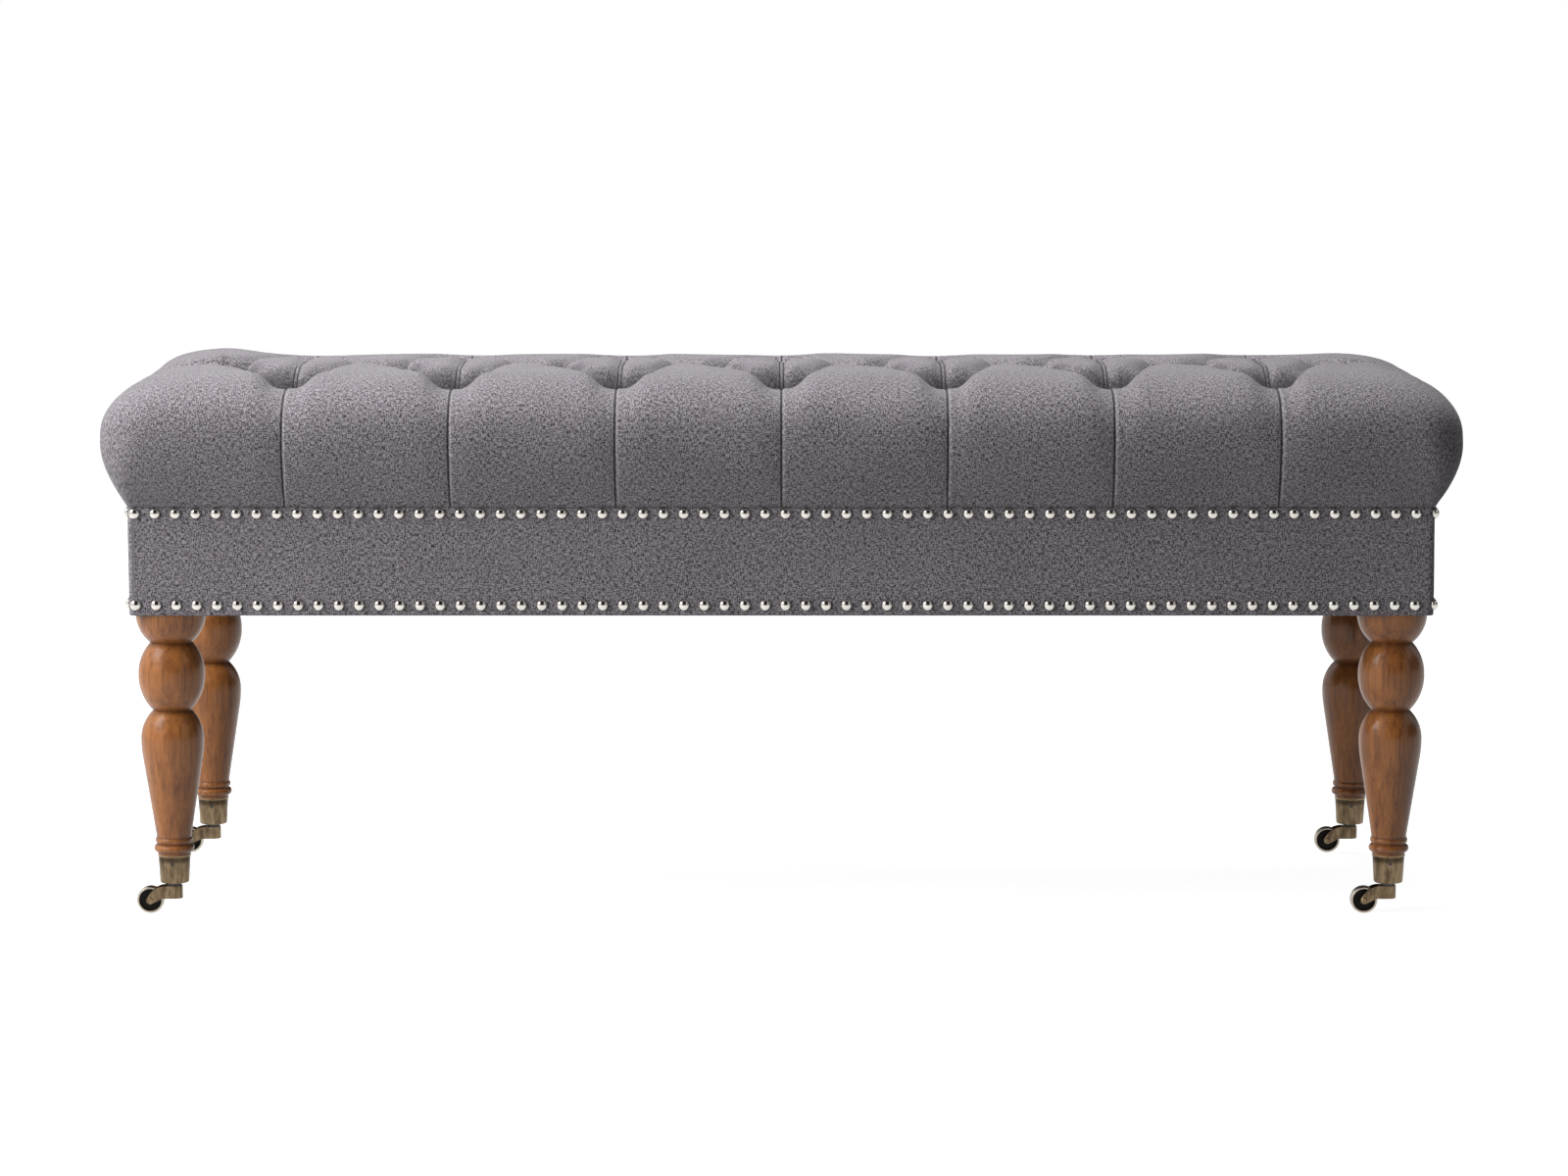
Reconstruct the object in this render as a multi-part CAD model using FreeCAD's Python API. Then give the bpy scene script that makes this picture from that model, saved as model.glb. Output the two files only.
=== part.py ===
import FreeCAD, Part
import math
import os

from FreeCAD import Placement, Rotation, Vector

# Upholstered bench on turned legs with cup casters, as separate pieces.
#
# A softwood box frame carries a plywood seat board, a deep foam pad and a button-tufted
# cover. A fabric band wraps the frame between two rows of domed nails. Each corner has a
# turned leg held by a hanger bolt, and each leg's foot sits in a metal cup. A forked horn
# swivels under the cup on a kingpin and carries one wheel on an axle.
#
# +X runs along the bench, +Y towards its back and +Z up. The origin is on the floor,
# under the middle of the bench. All sizes are in millimetres.

# Box frame and its fabric band
apron_length = 1223.0
apron_depth = 398.0
apron_height = 102.0
apron_corner_radius = 6.0
fabric_thickness = 1.5
rail_thickness = 20.0
seat_board_thickness = 12.0
cross_rail_height = 60.0
cross_rail_columns = 1.25
corner_block_side = 60.0
corner_block_height = 45.0
dust_cover_thickness = 0.8
dust_cover_margin = 8.0
dust_cover_leg_gap = 2.0

# Cushion
cushion_height = 123.0
cushion_bulge = 26.0
bulge_height = 64.0
crown_inset = 70.0
shoulder_fullness = 2.35
cushion_corner_radius = 44.0
least_corner_radius = 3.0
cover_thickness = 3.0
foam_gap = 0.4
side_stations = 5
shoulder_stations = 9

# Tufting
button_pitch = 154.8
button_row_inset = 80.0
button_end_margin = 60.0
button_radius = 11.0
button_edge_height = 2.9
button_dome_height = 3.6
button_depth = 42.0
well_mouth_radius = 31.0
well_gap = 0.4
twine_radius = 0.8
twine_hole_radius = 1.6
knot_radius = 4.0
knot_height = 2.5

# Domed nails
nail_pitch = 19.05
nail_radius = 5.5
nail_height = 2.8
nail_shoulder_radius = 3.8
nail_shoulder_height = 2.0
nail_start = 0.8
upper_nail_drop = 5.6
lower_nail_rise = 10.2

# Turned leg
leg_height = 232.1
leg_inset = 35.3
bun_radius = 33.0
bun_curve_radius = 36.0
upper_neck_radius = 19.6
ball_upper_curve_radius = 43.0
ball_radius = 31.2
ball_lower_curve_radius = 47.0
lower_neck_radius = 17.8
shoulder_curve_radius = 37.0
shoulder_radius = 29.6
taper_curve_radius = 110.0
taper_radius = 28.4
ankle_radius = 16.6
small_bead_radius = 17.7
bead_radius = 18.9
groove_radius = 15.8
foot_radius = 15.2

# Heights of the leg's turned stations above the cup's rim
bead_bottom = 2.4
bead_top = 9.9
small_bead_bottom = 10.7
small_bead_top = 16.4
ankle_rise = 18.8
taper_rise = 94.4
shoulder_rise = 111.4
lower_neck_rise = 138.2
ball_rise = 172.9
upper_neck_rise = 202.8

# Leg fixing
bolt_radius = 4.0
bolt_leg_depth = 40.0
bolt_stand_out = 3.0
tee_nut_barrel_radius = 5.4
tee_nut_barrel_length = 10.0
tee_nut_flange_radius = 10.0
tee_nut_flange_thickness = 1.5
thread_gap = 0.05

# Caster cup and its screws
cup_bottom_height = 29.6
cup_height = 27.0
cup_rim_radius = 15.2
cup_base_radius = 13.6
cup_wall = 1.6
cup_floor = 3.0
cup_lip_height = 1.6
cup_lip_width = 0.5
cup_base_chamfer = 0.8
peg_gap = 0.2
peg_lift = 3.4
cup_screw_height = 19.5
cup_screw_radius = 1.1
cup_screw_head_radius = 1.5
cup_screw_head_length = 1.2
cup_screw_length = 8.0
cup_screw_sink = 0.5
screw_gap = 0.08

# Caster wheel, axle, horn and kingpin
wheel_radius = 12.7
wheel_width = 10.0
wheel_rim = 2.1
wheel_web = 3.4
hub_radius = 4.6
tread_round = 1.2
caster_trail = 23.0
axle_radius = 2.0
axle_head_radius = 2.8
axle_head_height = 0.7
horn_bottom_height = 14.2
horn_height = 12.0
horn_arm_thickness = 2.0
horn_end_radius = 3.6
horn_arch_start = 8.0
horn_root_start = 11.5
horn_boss_radius = 7.4
collar_radius = 6.4
kingpin_radius = 3.0
kingpin_head_radius = 4.6
kingpin_head_height = 1.8
kingpin_head_chamfer = 0.6
peened_end_radius = 4.0
peened_end_height = 0.7
rim_side_gap = 0.45
hub_side_gap = 0.2
wheel_web_gap = 1.1
running_gap = 0.05
seat_gap = 0.02
swivel_gap = 0.2

# How far a cutting tool reaches past the face that it opens
cut_margin = 1.0

# Heights above the floor, and half sizes of the frame, that follow from the sizes above
cup_top_z = cup_bottom_height + cup_height
apron_bottom_z = cup_top_z + leg_height
rail_bottom_z = apron_bottom_z + fabric_thickness
apron_top_z = apron_bottom_z + apron_height
board_bottom_z = apron_top_z - seat_board_thickness
cushion_top_z = apron_top_z + cushion_height
button_base_z = cushion_top_z - button_depth
block_top_z = apron_bottom_z + corner_block_height
horn_top_z = horn_bottom_height + horn_height
leg_x = apron_length / 2 - leg_inset
leg_y = apron_depth / 2 - leg_inset
frame_half_length = apron_length / 2 - fabric_thickness
frame_half_depth = apron_depth / 2 - fabric_thickness
frame_corner_radius = apron_corner_radius - fabric_thickness
inner_half_length = frame_half_length - rail_thickness
inner_half_depth = frame_half_depth - rail_thickness
wheel_slot_half_width = wheel_width / 2 + rim_side_gap
horn_half_width = wheel_slot_half_width + horn_arm_thickness

X_AXIS = Vector(1, 0, 0)
Y_AXIS = Vector(0, 1, 0)
Z_AXIS = Vector(0, 0, 1)
CORNERS = {
    "front_left": (-1, -1),
    "front_right": (1, -1),
    "rear_left": (-1, 1),
    "rear_right": (1, 1),
}


def write(name, piece):
    """Writes one solid, or a list of separate solids, as parts/NAME.step."""
    shape = Part.makeCompound(piece) if isinstance(piece, list) else piece
    shape.exportStep(os.path.join("parts", name + ".step"))


def box(x_range, y_range, z_range):
    """A box between two values on each axis."""
    size = [high - low for low, high in (x_range, y_range, z_range)]
    return Part.makeBox(*size, Vector(x_range[0], y_range[0], z_range[0]))


def upright(radius, bottom, top, x=0.0, y=0.0):
    """An upright cylinder between two heights."""
    return Part.makeCylinder(radius, top - bottom, Vector(x, y, bottom))


def rounded_rectangle(half_length, half_depth, radius, z):
    """A closed wire at height z: a rectangle about the Z axis with round corners."""
    arcs = []
    for quarter, (sx, sy) in enumerate(((1, 1), (-1, 1), (-1, -1), (1, -1))):
        centre = Vector(sx * (half_length - radius), sy * (half_depth - radius), z)
        turns = [math.radians(90 * quarter + step) for step in (0, 45, 90)]
        arcs.append([centre + Vector(math.cos(a), math.sin(a), 0) * radius for a in turns])
    edges = []
    for number, arc in enumerate(arcs):
        edges.append(Part.Arc(*arc).toShape())
        edges.append(Part.makeLine(arc[2], arcs[(number + 1) % 4][0]))
    return Part.Wire(edges)


def rounded_block(half_length, half_depth, radius, bottom, top):
    """An upright block whose plan is a rounded rectangle."""
    outline = rounded_rectangle(half_length, half_depth, radius, bottom)
    return Part.Face(outline).extrude(Z_AXIS * (top - bottom))


def revolve(points, arcs=None):
    """Turns a closed (radius, height) outline about the Z axis. arcs maps the number of a
    side of the outline to a point that its arc passes through; other sides are straight."""
    arcs = arcs or {}
    corners = [Vector(radius, 0, z) for radius, z in points]
    edges = []
    for number, start in enumerate(corners):
        end = corners[(number + 1) % len(corners)]
        if number in arcs:
            via = Vector(arcs[number][0], 0, arcs[number][1])
            edges.append(Part.Arc(start, via, end).toShape())
        else:
            edges.append(Part.makeLine(start, end))
    return Part.Face(Part.Wire(edges)).revolve(Vector(0, 0, 0), Z_AXIS, 360)


def bow(start, end, radius):
    """The middle of the arc of that radius that goes up from start to end, two points
    (radius, height), and bulges away from the axis."""
    half = math.dist(start, end) / 2
    rise = radius - math.sqrt(radius**2 - half**2)
    middle = (start[0] + end[0]) / 2, (start[1] + end[1]) / 2
    outward = (end[1] - start[1]) / (2 * half), (start[0] - end[0]) / (2 * half)
    return middle[0] + outward[0] * rise, middle[1] + outward[1] * rise


def dome(radius, height, base_z):
    """The points (radius, height) of a low dome's edge and top, and the middle of the arc
    between them, on the sphere that gives the dome its width and height."""
    sphere_radius = (radius**2 + height**2) / (2 * height)
    edge, top = (radius, base_z), (0.0, base_z + height)
    return edge, top, bow(edge, top, sphere_radius)


def copies_at(solid, places):
    """Copies of a solid, moved to each plan position."""
    copies = []
    for x, y in places:
        copy = solid.copy()
        copy.translate(Vector(x, y, 0))
        copies.append(copy)
    return copies


def frame_rails():
    """The four rails of the box frame. The front and rear ones run its whole length."""
    outer = rounded_block(
        frame_half_length, frame_half_depth, frame_corner_radius, rail_bottom_z, board_bottom_z
    )
    height = (rail_bottom_z, board_bottom_z)
    length = (-frame_half_length, frame_half_length)
    depth = (-inner_half_depth, inner_half_depth)
    return {
        "front": box(length, (-frame_half_depth, -inner_half_depth), height).common(outer),
        "rear": box(length, (inner_half_depth, frame_half_depth), height).common(outer),
        "left": box((-frame_half_length, -inner_half_length), depth, height),
        "right": box((inner_half_length, frame_half_length), depth, height),
    }


def cross_rails():
    """Two rails under the seat board, each midway between columns of buttons."""
    rails = []
    for side in (-1, 1):
        middle = side * cross_rail_columns * button_pitch
        across = (middle - rail_thickness / 2, middle + rail_thickness / 2)
        depth = (-inner_half_depth, inner_half_depth)
        rails.append(box(across, depth, (board_bottom_z - cross_rail_height, board_bottom_z)))
    return rails


def seat_board():
    """The plywood on the rails, bored for the buttons' twines."""
    board = rounded_block(
        frame_half_length, frame_half_depth, frame_corner_radius, board_bottom_z, apron_top_z
    )
    hole = upright(twine_hole_radius, board_bottom_z, apron_top_z)
    return board.cut(Part.makeCompound(copies_at(hole, button_places())))


def corner_block(sx, sy):
    """A block in one corner of the frame, flush with the band's underside where the leg
    seats, and bored for the leg's bolt and nut."""
    x_range = sorted((sx * (inner_half_length - corner_block_side), sx * inner_half_length))
    y_range = sorted((sy * (inner_half_depth - corner_block_side), sy * inner_half_depth))
    block = box(x_range, y_range, (apron_bottom_z, block_top_z))
    bore_radius = tee_nut_barrel_radius + thread_gap
    return block.cut(upright(bore_radius, apron_bottom_z, block_top_z, sx * leg_x, sy * leg_y))


def tee_nut():
    """The threaded sleeve in a corner block, with its flange on the block's top."""
    barrel_bottom = block_top_z - tee_nut_barrel_length
    flange_top = block_top_z + tee_nut_flange_thickness
    body = upright(tee_nut_barrel_radius, barrel_bottom, block_top_z)
    body = body.fuse(upright(tee_nut_flange_radius, block_top_z, flange_top))
    return body.cut(upright(bolt_radius + thread_gap, barrel_bottom, flange_top))


def hanger_bolt():
    """The bolt that is screwed into the leg and drawn up by the tee nut."""
    top = block_top_z + tee_nut_flange_thickness + bolt_stand_out
    return upright(bolt_radius, apron_bottom_z - bolt_leg_depth, top)


def apron_fabric():
    """The fabric band round the frame, with its hem turned in under the rails."""
    band = rounded_block(
        apron_length / 2, apron_depth / 2, apron_corner_radius, apron_bottom_z, apron_top_z
    )
    frame = rounded_block(
        frame_half_length, frame_half_depth, frame_corner_radius, rail_bottom_z, apron_top_z
    )
    opening = box(
        (-inner_half_length, inner_half_length),
        (-inner_half_depth, inner_half_depth),
        (apron_bottom_z, rail_bottom_z),
    )
    return band.cut(frame).cut(opening)


def dust_cover():
    """The cloth under the frame, cut square round the four legs."""
    bottom = apron_bottom_z - dust_cover_thickness
    cloth = rounded_block(
        apron_length / 2 - dust_cover_margin,
        apron_depth / 2 - dust_cover_margin,
        apron_corner_radius,
        bottom,
        apron_bottom_z,
    )
    reach = bun_radius + dust_cover_leg_gap
    for sx, sy in CORNERS.values():
        x_range = sorted((sx * (leg_x - reach), sx * apron_length / 2))
        y_range = sorted((sy * (leg_y - reach), sy * apron_depth / 2))
        cloth = cloth.cut(box(x_range, y_range, (bottom, apron_bottom_z)))
    return cloth


def cushion_profile():
    """(outward offset, height) of the cushion's side: a quarter sine wave from the seam out
    to the bulge, then a quarter superellipse over the shoulder to the crown."""
    profile = []
    for step in range(side_stations):
        turn = math.pi / 2 * step / side_stations
        profile.append((cushion_bulge * math.sin(turn), bulge_height * step / side_stations))
    across, rise = cushion_bulge + crown_inset, cushion_height - bulge_height
    power = 2 / shoulder_fullness
    for step in range(shoulder_stations + 1):
        turn = math.pi / 2 * step / shoulder_stations
        offset = across * max(math.cos(turn), 0.0) ** power - crown_inset
        profile.append((offset, bulge_height + rise * math.sin(turn) ** power))
    return profile


def cushion_form(skin):
    """The cushion's closed crowned form, taken in by skin at its sides and its top."""
    wires = []
    for offset, height in cushion_profile():
        share = min(1.0, height / bulge_height)
        corner = apron_corner_radius + (cushion_corner_radius - apron_corner_radius) * share
        wire = rounded_rectangle(
            apron_length / 2 + offset - skin,
            apron_depth / 2 + offset - skin,
            max(corner - skin, least_corner_radius),
            apron_top_z + height * (1 - skin / cushion_height),
        )
        wires.append(wire)
    return Part.makeLoft(wires, True, True)


def button_places():
    """Plan positions of the buttons: a middle row, and a row on each side that is set half a
    pitch along, so that the pleats between them make diamonds."""
    middle_count = int((apron_length - 2 * button_end_margin) / button_pitch) + 1
    row_y = apron_depth / 2 - button_row_inset
    places = []
    for y, count in ((-row_y, middle_count - 1), (0.0, middle_count), (row_y, middle_count - 1)):
        for column in range(count):
            places.append(((column - (count - 1) / 2) * button_pitch, y))
    return places


def well(skin):
    """The hollow over a button, as a solid to cut away, grown by skin."""
    neck_z = button_base_z + button_edge_height
    neck = button_radius + well_gap + skin
    hollow = upright(neck, button_base_z - skin, neck_z)
    top_z = cushion_top_z + cut_margin
    flare = Part.makeCone(neck, well_mouth_radius + skin, top_z - neck_z, Vector(0, 0, neck_z))
    return hollow.fuse(flare)


def tufted_form(skin):
    """The cushion's form with its hollows and the holes for the twines, taken in by skin."""
    places = button_places()
    hole = upright(twine_hole_radius, apron_top_z, button_base_z)
    form = cushion_form(skin).cut(Part.makeCompound(copies_at(well(skin), places)))
    return form.cut(Part.makeCompound(copies_at(hole, places)))


def seat_cover():
    """The fabric cover, a thin wall over the pad and down round every button."""
    inside = cushion_form(cover_thickness)
    inside = inside.cut(Part.makeCompound(copies_at(well(cover_thickness), button_places())))
    return tufted_form(0.0).cut(inside)


def seat_foam():
    """The foam pad inside the cover."""
    return tufted_form(cover_thickness + foam_gap)


def tuft_button():
    """A covered button: a low rim under a domed top."""
    edge, top, via = dome(button_radius, button_dome_height, button_base_z + button_edge_height)
    return revolve([(0.0, button_base_z), (button_radius, button_base_z), edge, top], {2: via})


def button_twine():
    """The twine from a button down to the knot that holds it under the seat board."""
    knot_bottom = board_bottom_z - knot_height
    twine = upright(twine_radius, knot_bottom, button_base_z)
    return twine.fuse(upright(knot_radius, knot_bottom, board_bottom_z))


def band_place(distance):
    """A point that far along the fabric band's outline, and the angle that the band has
    turned through there, counted from the left end of the straight front."""
    straight_x = apron_length - 2 * apron_corner_radius
    straight_y = apron_depth - 2 * apron_corner_radius
    turn_length = apron_corner_radius * math.pi / 2
    position, angle = Vector(-straight_x / 2, -apron_depth / 2, 0), 0.0
    for straight in (straight_x, straight_y, straight_x, straight_y):
        along = Vector(math.cos(math.radians(angle)), math.sin(math.radians(angle)), 0)
        if distance <= straight:
            return position + along * distance, angle
        distance -= straight
        outward = along.cross(Z_AXIS)
        centre = position + along * straight - outward * apron_corner_radius
        turned = min(distance / apron_corner_radius, math.pi / 2)
        reach = outward * math.cos(turned) + along * math.sin(turned)
        position = centre + reach * apron_corner_radius
        if distance <= turn_length:
            return position, angle + math.degrees(turned)
        distance -= turn_length
        angle += 90.0
    return position, angle


def nail_head():
    """One nail's head, a low dome of two slopes that faces -Y."""
    points = [
        (0.0, 0.0),
        (nail_radius, 0.0),
        (nail_shoulder_radius, nail_shoulder_height),
        (0.0, nail_height),
    ]
    head = revolve(points)
    head.rotate(Vector(0, 0, 0), X_AXIS, 90)
    return head


def nail_row(z):
    """Nail heads at one height, evenly spaced all round the fabric band."""
    head = nail_head()
    straight = 2 * (apron_length + apron_depth) - 8 * apron_corner_radius
    outline = straight + 2 * math.pi * apron_corner_radius
    count = round(outline / nail_pitch)
    nails = []
    for number in range(count):
        place, angle = band_place((nail_start + number * outline / count) % outline)
        nail = head.copy()
        nail.rotate(Vector(0, 0, 0), Z_AXIS, angle)
        nail.translate(place + Z_AXIS * z)
        nails.append(nail)
    return nails


def cup_outer_radius(z):
    """The radius of the tapered cup's outside at a height above the floor."""
    share = (z - cup_bottom_height) / cup_height
    return cup_base_radius + (cup_rim_radius - cup_base_radius) * share


def leg():
    """A turned leg about the Z axis: a tapered peg for the cup, two beads, a long taper up
    to the shoulder, a ball and a bun, bored for its bolt and for the cup's screws."""
    peg_bottom = cup_bottom_height + cup_floor + peg_lift
    peg_inset = cup_wall + peg_gap
    taper_end = (taper_radius, cup_top_z + taper_rise)
    shoulder = (shoulder_radius, cup_top_z + shoulder_rise)
    lower_neck = (lower_neck_radius, cup_top_z + lower_neck_rise)
    ball = (ball_radius, cup_top_z + ball_rise)
    upper_neck = (upper_neck_radius, cup_top_z + upper_neck_rise)
    bun_top = (bun_radius, apron_bottom_z)
    points = [
        (0.0, peg_bottom),
        (cup_outer_radius(peg_bottom) - peg_inset, peg_bottom),
        (cup_outer_radius(cup_top_z) - peg_inset, cup_top_z),
        (foot_radius, cup_top_z),
        (groove_radius, cup_top_z + bead_bottom),
        (groove_radius, cup_top_z + bead_top),
        (groove_radius, cup_top_z + small_bead_bottom),
        (ankle_radius, cup_top_z + small_bead_top),
        (ankle_radius, cup_top_z + ankle_rise),
        taper_end,
        shoulder,
        lower_neck,
        ball,
        upper_neck,
        bun_top,
        (0.0, apron_bottom_z),
    ]
    arcs = {
        4: (bead_radius, cup_top_z + (bead_bottom + bead_top) / 2),
        6: (small_bead_radius, cup_top_z + (small_bead_bottom + small_bead_top) / 2),
        9: bow(taper_end, shoulder, taper_curve_radius),
        10: bow(shoulder, lower_neck, shoulder_curve_radius),
        11: bow(lower_neck, ball, ball_lower_curve_radius),
        12: bow(ball, upper_neck, ball_upper_curve_radius),
        13: bow(upper_neck, bun_top, bun_curve_radius),
    }
    body = revolve(points, arcs)
    body = body.cut(upright(bolt_radius + thread_gap, apron_bottom_z - bolt_leg_depth, apron_bottom_z))
    for side in (-1, 1):
        body = body.cut(cup_screw(side, screw_gap))
    return body


def cup_screw(side, gap):
    """A small screw through the cup's wall into the leg, grown by gap. Its head is sunk in
    the wall, at the front where side is -1 and at the back where it is 1."""
    z = cup_bottom_height + cup_screw_height
    head_outside = cup_outer_radius(z) - cup_screw_sink
    head_inside = head_outside - cup_screw_head_length
    outward = Y_AXIS * side
    head_start = Vector(0, side * (head_inside - gap), z)
    head = Part.makeCylinder(
        cup_screw_head_radius + gap, cup_screw_head_length + gap, head_start, outward
    )
    tip = Vector(0, side * (head_inside - cup_screw_length - gap), z)
    shank = Part.makeCylinder(cup_screw_radius + gap, cup_screw_length + 2 * gap, tip, outward)
    return head.fuse(shank)


def caster_cup():
    """The tapered cup, with a raised lip, a bore for the kingpin and two screw holes."""
    bottom, top = cup_bottom_height, cup_top_z
    floor_top = bottom + cup_floor
    lip_bottom = top - cup_lip_height
    lip_radius = cup_rim_radius + cup_lip_width
    bore = kingpin_radius + running_gap
    chamfer_z = bottom + cup_base_chamfer
    points = [
        (bore, bottom),
        (cup_outer_radius(bottom) - cup_base_chamfer, bottom),
        (cup_outer_radius(chamfer_z), chamfer_z),
        (cup_outer_radius(lip_bottom), lip_bottom),
        (lip_radius, lip_bottom + cup_lip_width),
        (lip_radius, top - cup_lip_width),
        (cup_rim_radius, top),
        (cup_outer_radius(top) - cup_wall, top),
        (cup_outer_radius(floor_top) - cup_wall, floor_top),
        (bore, floor_top),
    ]
    hole_length = 2 * (lip_radius + cut_margin)
    hole_start = Vector(0, -hole_length / 2, bottom + cup_screw_height)
    hole = Part.makeCylinder(cup_screw_head_radius + screw_gap, hole_length, hole_start, Y_AXIS)
    return revolve(points).cut(hole)


def horn_outline():
    """The horn's side outline. Its top runs level from the swivel axis and then bends down
    to the round end about the axle. Its underside rises straight from that end to the
    level bottom of the boss."""
    axle_point = Vector(-caster_trail, 0, wheel_radius)
    top_start = Vector(-horn_arch_start, 0, horn_top_z)
    run, drop = top_start.x - axle_point.x, horn_top_z - wheel_radius
    arch_radius = (run**2 + drop**2 - horn_end_radius**2) / (2 * (drop - horn_end_radius))
    arch_centre = top_start - Z_AXIS * arch_radius
    arch_turn = math.atan2(axle_point.z - arch_centre.z, axle_point.x - arch_centre.x)
    root = Vector(-horn_root_start, 0, horn_bottom_height)
    reach = root - axle_point
    root_turn = math.atan2(reach.z, reach.x) - math.acos(horn_end_radius / reach.Length)

    def around(centre, radius, turn):
        return centre + Vector(math.cos(turn), 0, math.sin(turn)) * radius

    over = around(axle_point, horn_end_radius, arch_turn)
    under = around(axle_point, horn_end_radius, root_turn)
    arch_middle = around(arch_centre, arch_radius, (arch_turn + math.pi / 2) / 2)
    end_middle = around(axle_point, horn_end_radius, (arch_turn + root_turn - 2 * math.pi) / 2)
    top_end, bottom_end = Vector(0, 0, horn_top_z), Vector(0, 0, horn_bottom_height)
    edges = [
        Part.makeLine(top_end, bottom_end),
        Part.makeLine(bottom_end, root),
        Part.makeLine(root, under),
        Part.Arc(under, end_middle, over).toShape(),
        Part.Arc(over, arch_middle, top_start).toShape(),
        Part.makeLine(top_start, top_end),
    ]
    return Part.Wire(edges)


def caster_horn():
    """The forked horn: a round boss on the swivel axis and two arms down to the axle."""
    body = Part.Face(horn_outline()).extrude(Y_AXIS * (2 * horn_half_width))
    body.translate(Y_AXIS * -horn_half_width)
    slot_end = wheel_radius + wheel_web_gap - caster_trail
    wheel_slot = box(
        (-caster_trail - wheel_radius, slot_end),
        (-wheel_slot_half_width, wheel_slot_half_width),
        (0.0, horn_top_z + cut_margin),
    )
    body = body.cut(wheel_slot)
    body = body.fuse(upright(horn_boss_radius, horn_bottom_height, horn_top_z)).removeSplitter()
    body = body.cut(upright(kingpin_radius + seat_gap, horn_bottom_height, horn_top_z))
    bore_start = Vector(-caster_trail, -horn_half_width, wheel_radius)
    return body.cut(
        Part.makeCylinder(axle_radius + seat_gap, 2 * horn_half_width, bore_start, Y_AXIS)
    )


def caster_kingpin():
    """The swivel pin, peened over under the horn, with its head inside the cup."""
    head_bottom = cup_bottom_height + cup_floor + swivel_gap
    head_top = head_bottom + kingpin_head_height
    peened_bottom = horn_bottom_height - peened_end_height
    points = [
        (0.0, peened_bottom),
        (peened_end_radius - peened_end_height, peened_bottom),
        (peened_end_radius, horn_bottom_height),
        (kingpin_radius, horn_bottom_height),
        (kingpin_radius, head_bottom),
        (kingpin_head_radius, head_bottom),
        (kingpin_head_radius, head_top - kingpin_head_chamfer),
        (kingpin_head_radius - kingpin_head_chamfer, head_top),
        (0.0, head_top),
    ]
    return revolve(points)


def caster_collar():
    """The bearing collar round the kingpin, between the horn and the cup."""
    top = cup_bottom_height - swivel_gap
    collar = upright(collar_radius, horn_top_z, top)
    return collar.cut(upright(kingpin_radius + running_gap, horn_top_z, top))


def laid_on_axle(solid):
    """Turns a solid that was revolved about Z so that it lies along the wheel's axis."""
    solid.Placement = Placement(Vector(-caster_trail, 0, wheel_radius), Rotation(X_AXIS, -90))
    return solid


def caster_axle():
    """The riveted axle, with a low head outside each arm."""
    half = horn_half_width
    head_end = half + axle_head_height
    head_face = axle_head_radius - axle_head_height
    points = [
        (0.0, -head_end),
        (head_face, -head_end),
        (axle_head_radius, -half),
        (axle_radius, -half),
        (axle_radius, half),
        (axle_head_radius, half),
        (head_face, head_end),
        (0.0, head_end),
    ]
    return laid_on_axle(revolve(points))


def caster_wheel():
    """The wheel: a tread with rounded edges, a thin web between two dished sides, and a hub
    bored for the axle."""
    half = wheel_width / 2
    hub_half = wheel_slot_half_width - hub_side_gap
    web = wheel_web / 2
    rim_inside = wheel_radius - wheel_rim
    bore = axle_radius + running_gap
    corner = tread_round * (1 - math.sqrt(0.5))
    points = [
        (bore, -hub_half),
        (hub_radius, -hub_half),
        (hub_radius, -web),
        (rim_inside, -web),
        (rim_inside, -half),
        (wheel_radius - tread_round, -half),
        (wheel_radius, -half + tread_round),
        (wheel_radius, half - tread_round),
        (wheel_radius - tread_round, half),
        (rim_inside, half),
        (rim_inside, web),
        (hub_radius, web),
        (hub_radius, hub_half),
        (bore, hub_half),
    ]
    arcs = {
        5: (wheel_radius - corner, -half + corner),
        7: (wheel_radius - corner, half - corner),
    }
    return laid_on_axle(revolve(points, arcs))


def main():
    os.makedirs("parts", exist_ok=True)
    signs = list(CORNERS.values())
    leg_places = [(sx * leg_x, sy * leg_y) for sx, sy in signs]
    for side, rail in frame_rails().items():
        write("frame_" + side + "_rail", rail)
    write("frame_cross_rails", cross_rails())
    write("corner_blocks", [corner_block(sx, sy) for sx, sy in signs])
    write("seat_board", seat_board())
    write("tee_nuts", copies_at(tee_nut(), leg_places))
    write("hanger_bolts", copies_at(hanger_bolt(), leg_places))
    write("apron_fabric", apron_fabric())
    write("dust_cover", dust_cover())
    write("seat_foam", seat_foam())
    write("seat_cover", seat_cover())
    write("tuft_buttons", copies_at(tuft_button(), button_places()))
    write("button_twines", copies_at(button_twine(), button_places()))
    write("nails_upper", nail_row(apron_top_z - upper_nail_drop))
    write("nails_lower", nail_row(apron_bottom_z + lower_nail_rise))
    front_screws = copies_at(cup_screw(-1, 0.0), leg_places)
    back_screws = copies_at(cup_screw(1, 0.0), leg_places)
    write("cup_screws", front_screws + back_screws)
    corner_pieces = {
        "leg": leg(),
        "caster_cup": caster_cup(),
        "caster_horn": caster_horn(),
        "caster_kingpin": caster_kingpin(),
        "caster_collar": caster_collar(),
        "caster_axle": caster_axle(),
        "caster_wheel": caster_wheel(),
    }
    for corner, place in zip(CORNERS, leg_places):
        for kind, solid in corner_pieces.items():
            write(kind + "_" + corner, copies_at(solid, [place])[0])


main()
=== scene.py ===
import math

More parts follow.
